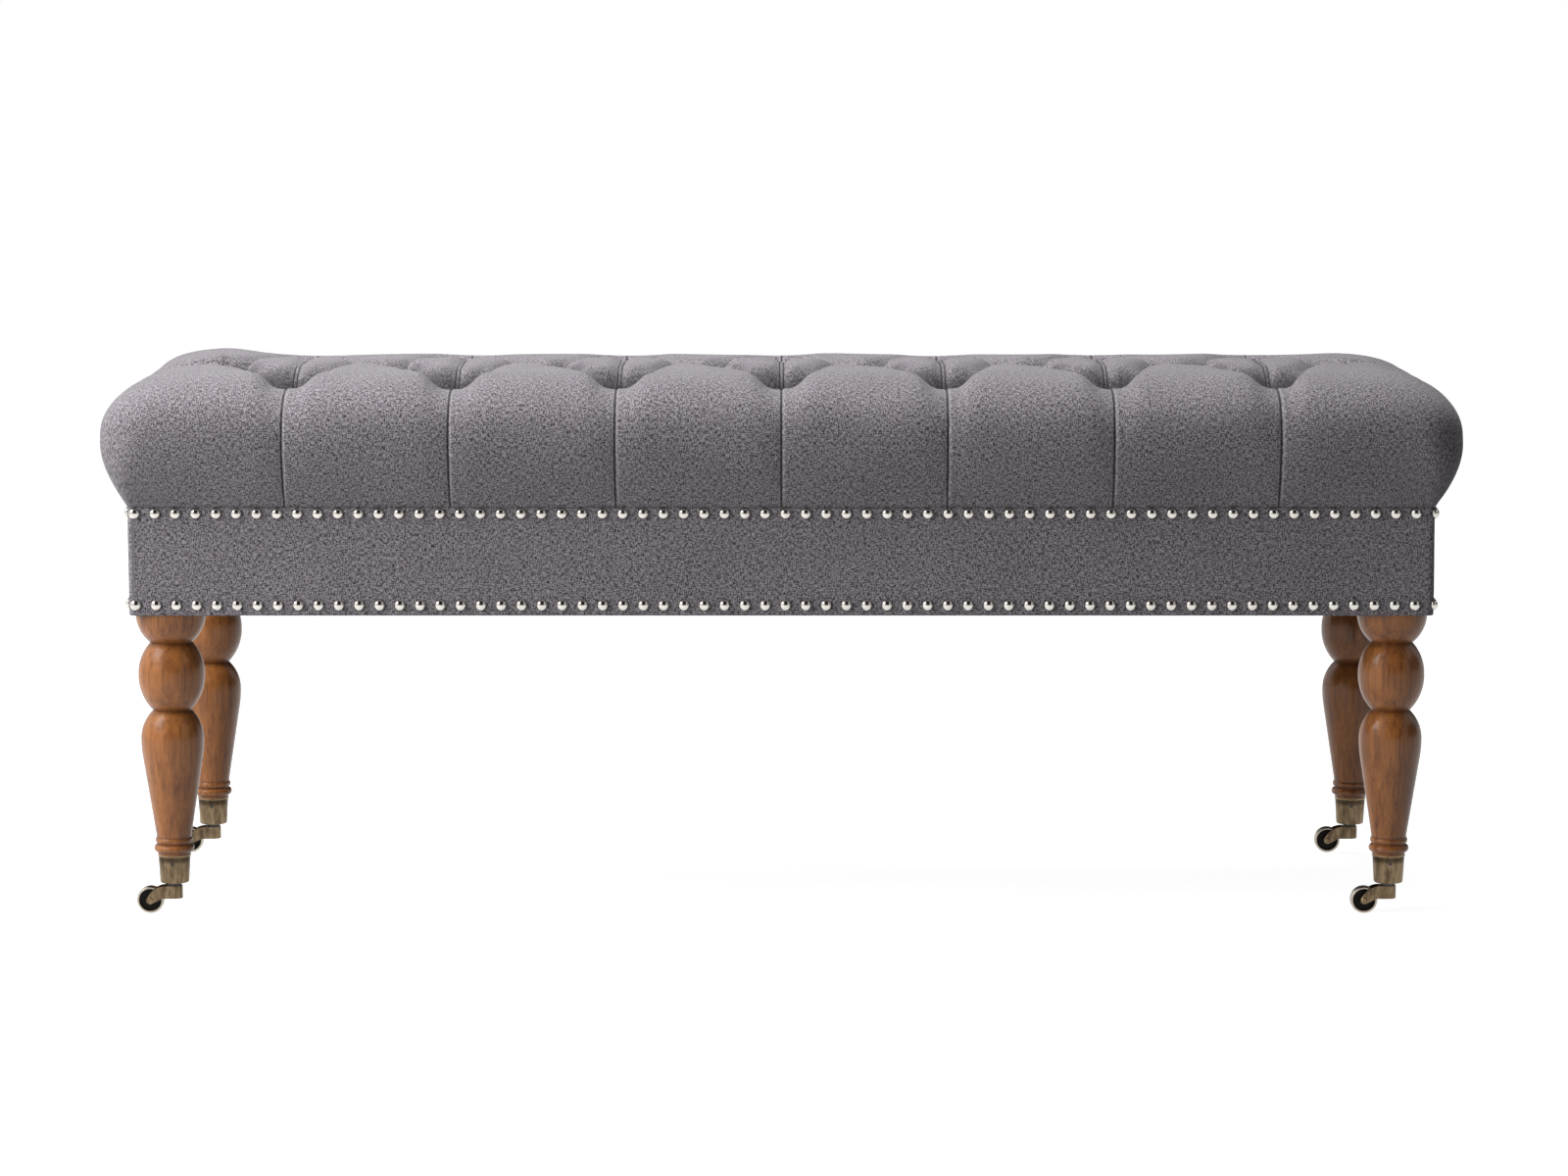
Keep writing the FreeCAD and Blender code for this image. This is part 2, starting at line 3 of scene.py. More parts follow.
import bpy
import numpy as np
from bpy.props import FloatProperty, FloatVectorProperty, PointerProperty
from bpy.types import Operator, Panel, PropertyGroup
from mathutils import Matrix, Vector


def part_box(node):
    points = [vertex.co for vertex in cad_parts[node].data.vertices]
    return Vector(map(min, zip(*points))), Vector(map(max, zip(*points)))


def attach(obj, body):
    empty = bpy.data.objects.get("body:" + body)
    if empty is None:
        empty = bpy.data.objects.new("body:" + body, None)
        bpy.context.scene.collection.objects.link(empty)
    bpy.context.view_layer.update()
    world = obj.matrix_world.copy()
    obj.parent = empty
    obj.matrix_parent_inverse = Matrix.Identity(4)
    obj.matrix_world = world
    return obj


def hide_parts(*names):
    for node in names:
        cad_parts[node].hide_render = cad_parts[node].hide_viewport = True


bl_info = {
    "name": "Upholstered bench",
    "version": (1, 0, 0),
    "blender": (4, 5, 0),
    "location": "View3D > Sidebar > Bench",
    "description": "Tufted cushion, nailed fabric band and finishes for a bench on turned legs",
    "category": "Add Mesh",
}

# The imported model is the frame. +X runs along the bench, +Y to its back, +Z up, in metres.
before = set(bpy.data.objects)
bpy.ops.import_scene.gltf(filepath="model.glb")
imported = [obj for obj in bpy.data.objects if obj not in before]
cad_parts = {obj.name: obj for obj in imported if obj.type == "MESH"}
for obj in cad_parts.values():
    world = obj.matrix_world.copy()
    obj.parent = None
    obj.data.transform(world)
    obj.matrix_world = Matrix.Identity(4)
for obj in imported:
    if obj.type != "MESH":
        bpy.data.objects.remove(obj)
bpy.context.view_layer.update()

BAND_LOW, BAND_HIGH = (np.array(corner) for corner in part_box("apron_fabric"))
COVER_HIGH = np.array(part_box("seat_cover")[1])
BUTTON_BASE_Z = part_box("tuft_buttons")[0].z
CUP_TOP_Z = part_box("caster_cup_front_left")[1].z

# Cushion outline: the seam on the band's top edge, the bulge, and the flat crown
HALF_LENGTH, HALF_DEPTH, SEAM_Z = BAND_HIGH
CROWN_Z = COVER_HIGH[2]
BULGE = COVER_HIGH[0] - HALF_LENGTH
BULGE_HEIGHT = 0.064
CROWN_INSET = 0.070
SHOULDER_FULLNESS = 2.35
CUSHION_CORNER = 0.044
SEAM_CORNER = 0.006

# Tufting: middle row of eight, front and rear rows of seven set half a pitch along
PITCH = 0.1548
HALF_PITCH = PITCH / 2
ROW_Y = 0.119
MIDDLE_END = 3.5 * PITCH
OUTER_END = 3.0 * PITCH
BUTTON_RADIUS = 0.011
BUTTON_RISE = 0.0065

# Cover: slack of the tests for points on a line of buttons, air over a button's base, how
# far round a pleat the points are drawn to it, the section's length from the crown's core
# to the end buttons and to the last of the creases, and the two ribs beside a front button
TOUCH = 1e-6
BUTTON_AIR = 0.0004
GATHER_REACH = 0.013
END_BUTTON_DOWN = 0.0443
CREASE_END = (0.222, 0.238)
RIB_OFFSET = 0.0018

# Cells of the cushion's grid: across half a pitch, between two rows, and over the sides
CELLS = 28
CORE_COLUMNS = 180
CORE_ROWS = 20
LEVELS = 56

# The band's steps round the bench and down its face, its hem, and its width under the
# rails. The nails of a row: their number, the first one's place, their size and height
BAND_STEPS = 1460
FACE_STEPS = 42
HEM_RADIUS = 0.0016
HEM_WIDTH = 0.0195
DIMPLE_DEPTH = 0.0005
DIMPLE_RADIUS = 0.0065
NAIL_COUNT = 170
NAIL_START = 0.0008
NAIL_RADIUS = 0.0055
NAIL_RISE = 0.0042
UPPER_NAIL_DROP = 0.0056
LOWER_NAIL_RISE = 0.0102
NAIL_SEAT = 0.0002
NAIL_ROWS = {
    "upper": BAND_HIGH[2] - UPPER_NAIL_DROP,
    "lower": BAND_LOW[2] + LOWER_NAIL_RISE,
}

# Legs: their centres, the heights and reaches of the grooves and necks that get painted
# shade, and how far inwards from a leg's centre the dust cover is cut away
LEG_X = 0.5762
LEG_Y = 0.1637
LEG_GROOVES = (
    (0.0592, 0.0016), (0.0671, 0.0016), (0.0735, 0.0018), (0.1955, 0.006), (0.2595, 0.006),
)
DUST_CUT = 0.035

# Casters at rest: the axle's height, how far it lies left of the kingpin, and the radii
# between which the wheel's hub, the recess painted black as shade, and the pale rim pass
# into each other
WHEEL_Z = 0.0127
CASTER_TRAIL = 0.023
HUB_EDGE = (0.0030, 0.0036)
RECESS_EDGE = (0.0104, 0.0109)
RIM_EDGE = (0.0106, 0.0110)

CORNERS = ("front_left", "front_right", "rear_left", "rear_right")
RAILS = tuple("frame_" + side + "_rail" for side in ("front", "rear", "left", "right"))

# The camera's place and the degrees that it looks down
CAMERA_PLACE = (0.0024, -4.879, 0.903)
CAMERA_DIP = 7.16

# Distance between two threads of the weave
THREAD_PITCH = 0.0011


def size_setting(name, description, default, high, low=0.0):
    return FloatProperty(
        name=name, description=description, default=default, min=low, max=high,
        subtype="DISTANCE", unit="LENGTH",
    )


def colour_setting(name, description, default):
    return FloatVectorProperty(
        name=name, description=description, default=default, min=0.0, max=1.0, subtype="COLOR",
    )


def power_setting(name, description, default):
    return FloatProperty(
        name=name, description=description, default=default, min=0.0, max=500.0,
        subtype="POWER", unit="POWER",
    )


class CushionSettings(PropertyGroup):
    pleat_depth: size_setting(
        "Pleat depth", "Depth of a pleat midway between two buttons", 0.005, 0.02
    )
    lip_depth: size_setting(
        "Lip depth", "Depth of a pleat where it turns over the cushion's edge", 0.013, 0.03
    )
    well_reach: size_setting(
        "Well reach", "Distance from a button at which the hollow ends", 0.050, 0.08, 0.02
    )
    rear_drop: size_setting(
        "Rear drop", "How far the crown sinks towards the cushion's back", -0.0065, 0.0, -0.02
    )
    fold_depth: size_setting(
        "Fold depth", "Depth of the narrow crease in a pleat", 0.0016, 0.004
    )


class FinishSettings(PropertyGroup):
    yarn_dark: colour_setting(
        "Dark yarn", "Darkest yarn of the upholstery cloth", (0.032, 0.027, 0.033)
    )
    yarn_mid: colour_setting(
        "Ground yarn", "Ground colour of the upholstery cloth", (0.150, 0.135, 0.152)
    )
    yarn_light: colour_setting(
        "Light yarn", "Lightest yarn of the upholstery cloth", (0.430, 0.404, 0.430)
    )
    wood_dark: colour_setting(
        "Wood grain", "Dark grain of the stained legs", (0.100, 0.028, 0.008)
    )
    wood_light: colour_setting(
        "Wood ground", "Light ground of the stained legs", (0.500, 0.190, 0.050)
    )
    brass: colour_setting(
        "Brass", "Rubbed places of the antique brass", (0.360, 0.262, 0.158)
    )
    brass_patina: colour_setting(
        "Brass patina", "Dark patina of the antique brass", (0.110, 0.074, 0.042)
    )


class StageSettings(PropertyGroup):
    lens: FloatProperty(
        name="Lens", description="Focal length of the camera",
        default=115.7, min=10.0, max=300.0, subtype="DISTANCE_CAMERA", unit="CAMERA",
    )
    left_power: power_setting(
        "Left lamps", "Power of the three lamps on the left, taken together", 88.0
    )
    top_power: power_setting("Top lamp", "Power of the lamp overhead", 57.0)
    front_power: power_setting("Front lamp", "Power of the lamp in front", 5.0)
    sky: FloatProperty(
        name="Sky", description="Strength of the even light from all round",
        default=0.05, min=0.0, max=2.0, subtype="FACTOR",
    )


def smooth_step(low, high, value):
    """0 below low, 1 above high, and the cubic 3t^2 - 2t^3 between them."""
    t = np.clip((value - low) / (high - low), 0.0, 1.0)
    return t * t * (3 - 2 * t)


def make_piece(name, points, faces, uv=None, attributes=None, smooth=True):
    """Puts arrays of points and faces into a new mesh object at the origin. uv and the
    attributes hold one value for each point. Faces of more than four corners stay flat."""
    mesh = bpy.data.meshes.new(name)
    faces = [np.asarray(part) for part in faces if len(part)]
    mesh.vertices.add(len(points))
    mesh.vertices.foreach_set("co", np.asarray(points, np.float32).ravel())
    corners = np.concatenate([part.ravel() for part in faces])
    counts = np.concatenate([np.full(len(part), part.shape[1]) for part in faces])
    mesh.loops.add(len(corners))
    mesh.loops.foreach_set("vertex_index", corners.astype(np.int32))
    mesh.polygons.add(len(counts))
    mesh.polygons.foreach_set("loop_start", (np.cumsum(counts) - counts).astype(np.int32))
    mesh.polygons.foreach_set("loop_total", counts.astype(np.int32))
    mesh.polygons.foreach_set("use_smooth", smooth & (counts <= 4))
    if uv is not None:
        layer = mesh.uv_layers.new(name="weave")
        layer.data.foreach_set("uv", np.asarray(uv, np.float32)[corners].ravel())
    for key, values in (attributes or {}).items():
        data = mesh.attributes.new(key, "FLOAT", "POINT")
        data.data.foreach_set("value", np.asarray(values, np.float32))
    mesh.update(calc_edges=True)
    mesh.validate()
    piece = bpy.data.objects.new(name, mesh)
    bpy.context.scene.collection.objects.link(piece)
    return piece


def finish_piece(piece, finish, body="root", stands_for=()):
    """Gives a new piece its material, its body and the CAD nodes that it stands for."""
    piece.data.materials.clear()
    piece.data.materials.append(bpy.data.materials[finish])
    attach(piece, body)
    if stands_for:
        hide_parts(*stands_for)


def quads_of(rows, columns, start=0, close_rows=False, close_columns=False):
    """Corner numbers of the cells of a grid of points, wound so that a face whose columns
    run along x and rows along y looks up."""
    j, i = np.meshgrid(
        np.arange(rows if close_rows else rows - 1),
        np.arange(columns if close_columns else columns - 1),
        indexing="ij",
    )
    right, up = (i + 1) % columns, (j + 1) % rows
    cells = np.stack(
        [j * columns + i, j * columns + right, up * columns + right, up * columns + i], -1
    )
    return start + cells.reshape(-1, 4)


def side_profile():
    """The cushion's section from its flat crown down to the seam: level until it is
    CROWN_INSET inside the seam, a quarter superellipse over the shoulder to the bulge, then
    a quarter sine wave in to the seam. Gives arrays of the length along it, the offset
    outward from the seam, the height and the corner radius in plan."""
    core = -(CROWN_INSET + CUSHION_CORNER)
    level = np.linspace(core, -CROWN_INSET, 16, endpoint=False)
    turn = np.linspace(math.pi / 2, 0.0, 90)
    power = 2 / SHOULDER_FULLNESS
    across = BULGE + CROWN_INSET
    rise = CROWN_Z - SEAM_Z - BULGE_HEIGHT
    shoulder = across * np.cos(turn).clip(0.0) ** power - CROWN_INSET
    shoulder_z = SEAM_Z + BULGE_HEIGHT + rise * np.sin(turn).clip(0.0) ** power
    below = np.linspace(1.0, 0.0, 40)[1:]
    offset = np.concatenate([level, shoulder, BULGE * np.sin(math.pi / 2 * below)])
    height = np.concatenate(
        [np.full(len(level), CROWN_Z), shoulder_z, SEAM_Z + BULGE_HEIGHT * below]
    )
    corner = np.concatenate(
        [
            level - core,
            np.full(len(turn), CUSHION_CORNER),
            SEAM_CORNER + (CUSHION_CORNER - SEAM_CORNER) * below,
        ]
    )
    length = np.concatenate([[0.0], np.cumsum(np.hypot(np.diff(offset), np.diff(height)))])
    return length, offset, height, corner


def cushion_base():
    """The untufted cushion on a grid of rows and columns. Inside the crown the grid is a
    plain rectangle whose cells fit the lattice of buttons. Outside it, level by level, it
    follows rings of the section: straight along the front and the ends, and by share of
    the way round at the corners. Gives points, outward normals, the length down the
    section, and the map of the cloth."""
    length, offset, height, corner = side_profile()
    step_x, step_y = HALF_PITCH / CELLS, ROW_Y / CELLS
    core_x, core_y = CORE_COLUMNS * step_x, CORE_ROWS * step_y
    core_offset = offset[0]
    start_x = core_x - (HALF_LENGTH + core_offset)
    start_y = core_y - (HALF_DEPTH + core_offset)

    def levels(start, step, even):
        lattice = start + step * np.arange(even + 1)
        rest = np.linspace(lattice[-1], length[-1], LEVELS - even + 1)[1:]
        return np.concatenate([lattice, rest])

    down_ends = levels(start_x, step_x, round((MIDDLE_END - core_x) / step_x))
    down_front = levels(start_y, step_y, CELLS - CORE_ROWS)
    i = np.arange(-CORE_COLUMNS - LEVELS, CORE_COLUMNS + LEVELS + 1)
    j = np.arange(-CORE_ROWS - LEVELS, CORE_ROWS + LEVELS + 1)
    j, i = np.meshgrid(j, i, indexing="ij")
    out_x = np.maximum(abs(i) - CORE_COLUMNS, 0)
    out_y = np.maximum(abs(j) - CORE_ROWS, 0)
    ring = np.maximum(out_x, out_y)
    ways = np.where(out_y >= out_x, out_x, 2 * ring - out_y) / np.maximum(2 * ring, 1)
    turn = smooth_step(0.0, 1.0, ways)
    down = down_front[ring] * (1 - turn) + down_ends[ring] * turn
    down = np.where(ring == 0, 0.0, down)
    o, z, r = (np.interp(down, length, values) for values in (offset, height, corner))
    slope = np.gradient(height, length)
    spread = np.gradient(offset, length)
    steep, level_share = np.interp(down, length, -slope), np.interp(down, length, spread)
    first = np.maximum(HALF_LENGTH + o - r - core_x, 0.0)
    last = np.maximum(HALF_DEPTH + o - r - core_y, 0.0)
    arc = r * math.pi / 2
    way = ways * (first + arc + last)
    angle = np.clip((way - first) / np.maximum(r, 1e-6), 0.0, math.pi / 2)
    past = np.clip(way - first - arc, 0.0, None)
    x = HALF_LENGTH + o - r - first + np.minimum(way, first) + r * np.sin(angle)
    y = HALF_DEPTH + o - r + r * np.cos(angle) - past
    x = np.where(out_x == 0, abs(i) * step_x, x)
    y = np.where(out_y == 0, abs(j) * step_y, y)
    angle = np.where(out_x == 0, 0.0, np.where(out_y == 0, math.pi / 2, angle))
    sign_x, sign_y = np.sign(i), np.sign(j)
    points = np.stack([x * sign_x, y * sign_y, z], -1)
    plan = np.stack([np.sin(angle) * sign_x, np.cos(angle) * sign_y], -1)
    tilt = np.where(ring == 0, 0.0, steep)[..., None]
    upward = np.where(ring == 0, 1.0, level_share)[..., None]
    normals = np.concatenate([plan * tilt, upward], -1)
    normals /= np.linalg.norm(normals, axis=-1, keepdims=True)
    swing = smooth_step(0.28, 0.72, ways)
    whole = first + arc + last
    u = core_x + way * (1 - swing) + down * swing
    v = core_y + down * (1 - swing) + (whole - way) * swing
    u = np.where(out_x == 0, abs(i) * step_x, u)
    v = np.where(out_y == 0, abs(j) * step_y, v)
    cloth = np.stack([u * sign_x, v * sign_y], -1)
    return i, j, points, normals, down, cloth


def to_lattice(value, pitch):
    """Signed distance to the nearest multiple of pitch."""
    return (value + pitch / 2) % pitch - pitch / 2


def pleat_lines(x, y):
    """Signed distances from plan points to the pleats of each family: rising to the right,
    rising to the left, straight from a front button to the rear one, and out from the end
    buttons. OUTER_END is a multiple of the pitch, so a front button lies at x = 0."""
    lean = HALF_PITCH / ROW_Y
    square = ROW_Y / math.hypot(ROW_Y, HALF_PITCH)
    right = to_lattice(x - (y + ROW_Y) * lean, PITCH) * square
    left = to_lattice(x + (y + ROW_Y) * lean, PITCH) * square
    column = np.clip(np.round(x / PITCH), -3, 3) * PITCH
    return right, left, x - column, y


def nearest_button(x, y):
    """Distance in plan to the nearest button of the three rows."""
    outer_x = x - np.clip(np.round(x / PITCH), -3, 3) * PITCH
    middle = np.clip(np.round(x / PITCH - 0.5), -4, 3) * PITCH + HALF_PITCH
    return np.minimum(np.hypot(outer_x, abs(y) - ROW_Y), np.hypot(x - middle, y))


def gather(distance):
    """How far points near a line are drawn towards it, so that the mesh is finest in the
    fold: the distance becomes the reach times its own share of the reach, to a power."""
    share = np.minimum(abs(distance) / GATHER_REACH, 1.0)
    return (np.sign(distance) * GATHER_REACH * share**2.1 - distance) * (share < 1)


def draw_to_pleats(points, cloth, middle, beyond_ends):
    """Moves the points, and the cloth's map with them, square to the pleats that they lie
    beside. Near a button, where pleats meet, they stay."""
    x, y = points[..., 0].copy(), points[..., 1].copy()
    right, left, column, row = pleat_lines(x, y)
    free = smooth_step(0.012, 0.034, nearest_button(x, y))
    norm = math.hypot(ROW_Y, HALF_PITCH)
    for distance, across, where in (
        (right, (ROW_Y / norm, -HALF_PITCH / norm), middle),
        (left, (ROW_Y / norm, HALF_PITCH / norm), middle),
        (column, (1.0, 0.0), abs(x) < OUTER_END + 0.02),
        (row, (0.0, 1.0), beyond_ends),
    ):
        shift = (gather(distance) * free * where)[..., None] * across
        points[..., :2] += shift
        cloth += shift


def tufted_cushion(settings):
    """The cushion's cover. A pleat is a valley with a bell curve for its section, and its
    depth falls away from its buttons to a power of what is left of its length. Each slant
    is narrower on one side than on the other, and a shoulder lies to the right of each
    front well. The pleats that run down over the edges fall away as two exponentials. Each
    button is a funnel. Where these overlap, the depth is a power mean of theirs. Narrow
    creases and ribs are added, and the points sink along the untufted cushion's normals.
    The crown leans down to the back, less so near its corners. Gives with the points the
    marks that the cloth's finish reads: how far a pleat's crease and a front button's ribs
    are, and how much painted shade the cloth gets beside the slants and deep in the folds."""
    i, j, points, normals, down, cloth = cushion_base()
    out_x, out_y = abs(points[..., 0]), abs(points[..., 1])
    middle = (out_y <= ROW_Y + TOUCH) & (out_x <= MIDDLE_END + TOUCH)
    beyond_rows, beyond_ends = out_y > ROW_Y - TOUCH, out_x > MIDDLE_END - TOUCH
    draw_to_pleats(points, cloth, middle, beyond_ends)
    x, y = points[..., 0], points[..., 1]
    right, left, column, row = pleat_lines(x, y)
    button = nearest_button(x, y)
    full = CROWN_Z - BUTTON_BASE_Z - BUTTON_AIR
    run = np.maximum(button - BUTTON_RADIUS, 0.0)
    funnel = full * np.clip(1 - run / (settings.well_reach - BUTTON_RADIUS), 0.0, 1.0) ** 2.6

    def valley(distance, least, near_width, far_width, tail):
        fall = np.clip(1 - run / tail, 0.0, 1.0) ** 2.5
        width = near_width + (far_width - near_width) * smooth_step(0.0, 0.06, run)
        return (least + (full - least) * fall) * np.exp(-((distance / width) ** 2)) * middle

    def lip(distance, run, width, narrowing):
        width = width - narrowing * smooth_step(0.05, 0.14, run)
        rate = settings.lip_depth / full / math.exp(-0.034 / 0.055)
        fall = 0.45 * np.exp(-run / 0.009) + rate * np.exp(-run / 0.055)
        power = 2.0 + 1.4 * (1 - smooth_step(0.05, 0.12, run))
        return full * fall * np.exp(-(np.abs(distance / width) ** power))

    least = settings.pleat_depth
    left_tile = np.where(y < 0, -left, left)
    right_squeeze = np.where(right > 0, 2.8, 0.85)
    left_squeeze = np.where(left_tile > 0, 0.72, 1.3)
    rear_share = np.where(y > 0, smooth_step(0.170, 0.200, y), 1.0)
    shoulder = 0.030 * np.exp(-((np.maximum(column, 0.0) / 0.026) ** 2.2)) * (y < 0) * middle
    shoulder *= smooth_step(-0.012, 0.004, right) * smooth_step(0.004, 0.020, column)
    row_down = ROW_Y - CORE_ROWS * ROW_Y / CELLS
    run_front = np.maximum(down - row_down - BUTTON_RADIUS, 0.0)
    run_end = np.maximum(abs(x) - MIDDLE_END, down - END_BUTTON_DOWN) - BUTTON_RADIUS
    parts = (
        funnel,
        valley(right * right_squeeze, least, 0.016, 0.014, 0.105),
        valley(left * left_squeeze, least, 0.016, 0.014, 0.105),
        valley(column, 0.5 * least, 0.012, 0.008, 0.080),
        shoulder,
        lip(column, run_front, 0.021, 0.008) * beyond_rows * rear_share,
        lip(row, np.maximum(run_end, 0.0), 0.026, 0.010) * beyond_ends,
    )
    depth = np.minimum(sum(part**2.4 for part in parts) ** (1 / 2.4), full)

    def crease(distance, where, rolled_side):
        near = np.exp(-((distance / 0.0009) ** 2)) * settings.fold_depth
        rolled = np.exp(-(((distance * rolled_side - 0.0034) / 0.0026) ** 2)) * 0.0007
        return (near - rolled) * where

    clear = smooth_step(0.010, 0.020, button)
    above_seam = 1 - smooth_step(*CREASE_END, down)
    slant = middle * clear
    rib = np.exp(-((abs(column) - RIB_OFFSET) / 0.0009) ** 2) * 0.0014 * slant
    creases = (
        crease(right, slant, -1)
        + rib
        + crease(column, beyond_rows * clear * above_seam * rear_share, 1)
        + crease(row, beyond_ends * clear * above_seam, 1)
    )
    u, v = cloth[..., 0], cloth[..., 1]
    wave = (
        np.sin(31 * u + 17 * v + 0.6)
        + np.sin(47 * u - 39 * v + 2.1)
        + 0.7 * np.sin(83 * v + 21 * u + 4.0)
    )
    depth = depth + creases + 0.00035 * wave * smooth_step(0.02, 0.05, button) * above_seam
    points = points - normals * depth[..., None]
    crown = smooth_step(CROWN_Z - 0.05, CROWN_Z, points[..., 2])
    lean = np.interp(y, (-0.16, 0.0, 0.16), (0.0005, 0.0, settings.rear_drop))
    humped = smooth_step(0.500, 0.558, abs(x)) * np.where(x < 0, 1.15, 0.35) * (y > 0)
    points[..., 2] += crown * lean * (1 - humped)
    marks = cover_marks(x, y, middle, beyond_rows, beyond_ends, left_tile, depth / full)
    return i, j, points, cloth, marks


def cover_marks(x, y, middle, beyond_rows, beyond_ends, left_tile, share):
    """Marks for the cloth's finish: the distances to a pleat's crease and to a column's
    line, no more than far, and the strength of the painted shade, a sum of bell curves
    beside the slants, fading away from the buttons, and of a power of the share of the full depth."""
    right, left, column, row = pleat_lines(x, y)
    button = nearest_button(x, y)
    far = 0.02
    clear = smooth_step(0.010, 0.020, button) > 0.3
    slant = middle & clear
    pleat = np.minimum.reduce(
        [
            np.where(slant, np.maximum(abs(right - 0.0020) - 0.0026, 0.0), far),
            np.where(beyond_rows & clear, abs(column), far),
            np.where(beyond_ends & clear, abs(row), far),
            np.full_like(x, far),
        ]
    )
    ribs = np.minimum(np.where(slant, abs(column), far), far)
    near_well = 1 - smooth_step(0.036, 0.088, button)
    # Painted shade: bell curves beside the slants near the wells, and a power of how deep the cloth
    # lies, set how much the finish darkens the cloth.
    right_reach = np.where(right > 0, 0.004, 0.014)
    left_reach = np.where(left_tile > 0, 0.010, 0.018)
    tuck = 0.8 * np.exp(-((right / right_reach) ** 2)) + np.exp(-((left / left_reach) ** 2))
    tuck = tuck * middle * near_well + 1.1 * np.clip(share, 0, 1) ** 1.3
    front_fade = 1 - smooth_step(0.0, 0.02, abs(y) - ROW_Y)
    tuck = np.clip(tuck, 0, 1) * np.where(beyond_rows, front_fade, 1.0)
    return {"pleat": pleat, "rib": ribs, "tuck": tuck}


def cushion_faces(i, j):
    """Triangles of the cushion's grid, each cell cut along the diagonal that a slanting
    pleat follows, and the faces that close its underside."""
    rows, columns = i.shape
    cell_i, cell_j = i[:-1, :-1], j[:-1, :-1]
    number = np.arange(rows * columns).reshape(rows, columns)
    a, b = number[:-1, :-1], number[:-1, 1:]
    c, d = number[1:, 1:], number[1:, :-1]
    rising = (cell_i + 0.5) * (cell_j + 0.5) > 0
    inside = (abs(cell_j + 0.5) < CELLS) & (abs(cell_i + 0.5) < 7 * CELLS)
    on_right = (cell_i - cell_j) % (2 * CELLS) == CELLS
    on_left = (cell_i + 1 + cell_j) % (2 * CELLS) == CELLS
    rising = np.where(inside & on_right, True, np.where(inside & on_left, False, rising))
    one = np.where(rising[..., None], np.stack([a, b, c], -1), np.stack([a, b, d], -1))
    two = np.where(rising[..., None], np.stack([a, c, d], -1), np.stack([b, c, d], -1))
    top = np.concatenate([one.reshape(-1, 3), two.reshape(-1, 3)])
    low, high = number[0], number[-1]
    under = np.stack([low[:-1], high[:-1], high[1:], low[1:]], -1)
    left, right = number[:, 0][None, :], number[::-1, -1][None, :]
    return top, under, left, right


class Value:
    """A value in a material's nodes. Arithmetic on it adds Math nodes, also where the plain
    number stands first."""

    def __init__(self, finish, socket):
        self.finish, self.socket = finish, socket

    def math(self, operation, *values):
        return self.finish.node("ShaderNodeMath", {"operation": operation}, dict(enumerate(values)))

    def __add__(self, other):
        return self.math("ADD", self, other)

    def __sub__(self, other):
        return self.math("SUBTRACT", self, other)

    def __rsub__(self, other):
        return self.math("SUBTRACT", other, self)

    def __mul__(self, other):
        return self.math("MULTIPLY", self, other)

    def __truediv__(self, other):
        return self.math("DIVIDE", self, other)

    def __pow__(self, other):
        return self.math("POWER", self, other)

    def __abs__(self):
        return self.math("ABSOLUTE", self)

    __radd__ = __add__
    __rmul__ = __mul__


class Finish:
    """A material and its Principled surface. node() adds any node from its type, its
    settings, which are set first, and the values or links of its sockets."""

    def __init__(self, name, **surface):
        self.material = bpy.data.materials.new(name)
        self.material.use_nodes = True
        self.tree = self.material.node_tree
        self.surface = self.tree.nodes["Principled BSDF"]
        self.set_sockets(self.surface, surface)

    def set_sockets(self, node, values):
        for key, value in values.items():
            socket = node.inputs[key.replace("_", " ") if isinstance(key, str) else key]
            if isinstance(value, Value):
                self.tree.links.new(value.socket, socket)
            elif hasattr(value, "__len__") and len(value) == 3 and socket.type == "RGBA":
                socket.default_value = (*value, 1.0)
            else:
                socket.default_value = value

    def node(self, kind, settings, sockets, output=0):
        node = self.tree.nodes.new(kind)
        for key, value in settings.items():
            if key == "stops":
                ramp = node.color_ramp.elements
                while len(ramp) < len(value):
                    ramp.new(0.5)
                for element, (position, colour) in zip(ramp, value):
                    element.position = position
                    element.color = (*colour, 1.0)
            else:
                setattr(node, key, value)
        self.set_sockets(node, sockets)
        return Value(self, node.outputs[output])

    def place(self, kind="Object"):
        return self.node("ShaderNodeTexCoord", {}, {}, kind)

    def weave(self):
        return self.node("ShaderNodeUVMap", {"uv_map": "weave"}, {})

    def attribute(self, name):
        return self.node("ShaderNodeAttribute", {"attribute_name": name}, {}, "Fac")

    def scaled(self, vector, scale):
        return self.node(
            "ShaderNodeVectorMath", {"operation": "MULTIPLY"}, {0: vector, 1: scale}
        )

    def parts(self, vector):
        node = self.tree.nodes.new("ShaderNodeSeparateXYZ")
        self.tree.links.new(vector.socket, node.inputs[0])
        return [Value(self, output) for output in node.outputs]

    def noise(self, vector, scale=1.0, detail=2.0, roughness=0.5, distortion=0.0):
        sockets = {
            "Vector": vector, "Scale": scale, "Detail": detail,
            "Roughness": roughness, "Distortion": distortion,
        }
        return self.node("ShaderNodeTexNoise", {}, sockets)

    def ramp(self, value, *stops):
        return self.node("ShaderNodeValToRGB", {"stops": stops}, {0: value})

    def between(self, value, low, high):
        """0 where value is below low, 1 above high and smooth between."""
        settings = {"interpolation_type": "SMOOTHSTEP"}
        return self.node("ShaderNodeMapRange", settings, {0: value, 1: low, 2: high})

    def mix(self, share, one, other):
        sockets = {0: share, 6: one, 7: other}
        return self.node("ShaderNodeMix", {"data_type": "RGBA"}, sockets, 2)

    def bump(self, height, distance, strength=1.0, normal=None):
        sockets = {"Height": height, "Distance": distance, "Strength": strength}
        if normal is not None:
            sockets["Normal"] = normal
        return self.node("ShaderNodeBump", {}, sockets)

    def paint(self, **surface):
        self.set_sockets(self.surface, surface)
        return self.material


def grey(level):
    return (level, level, level)


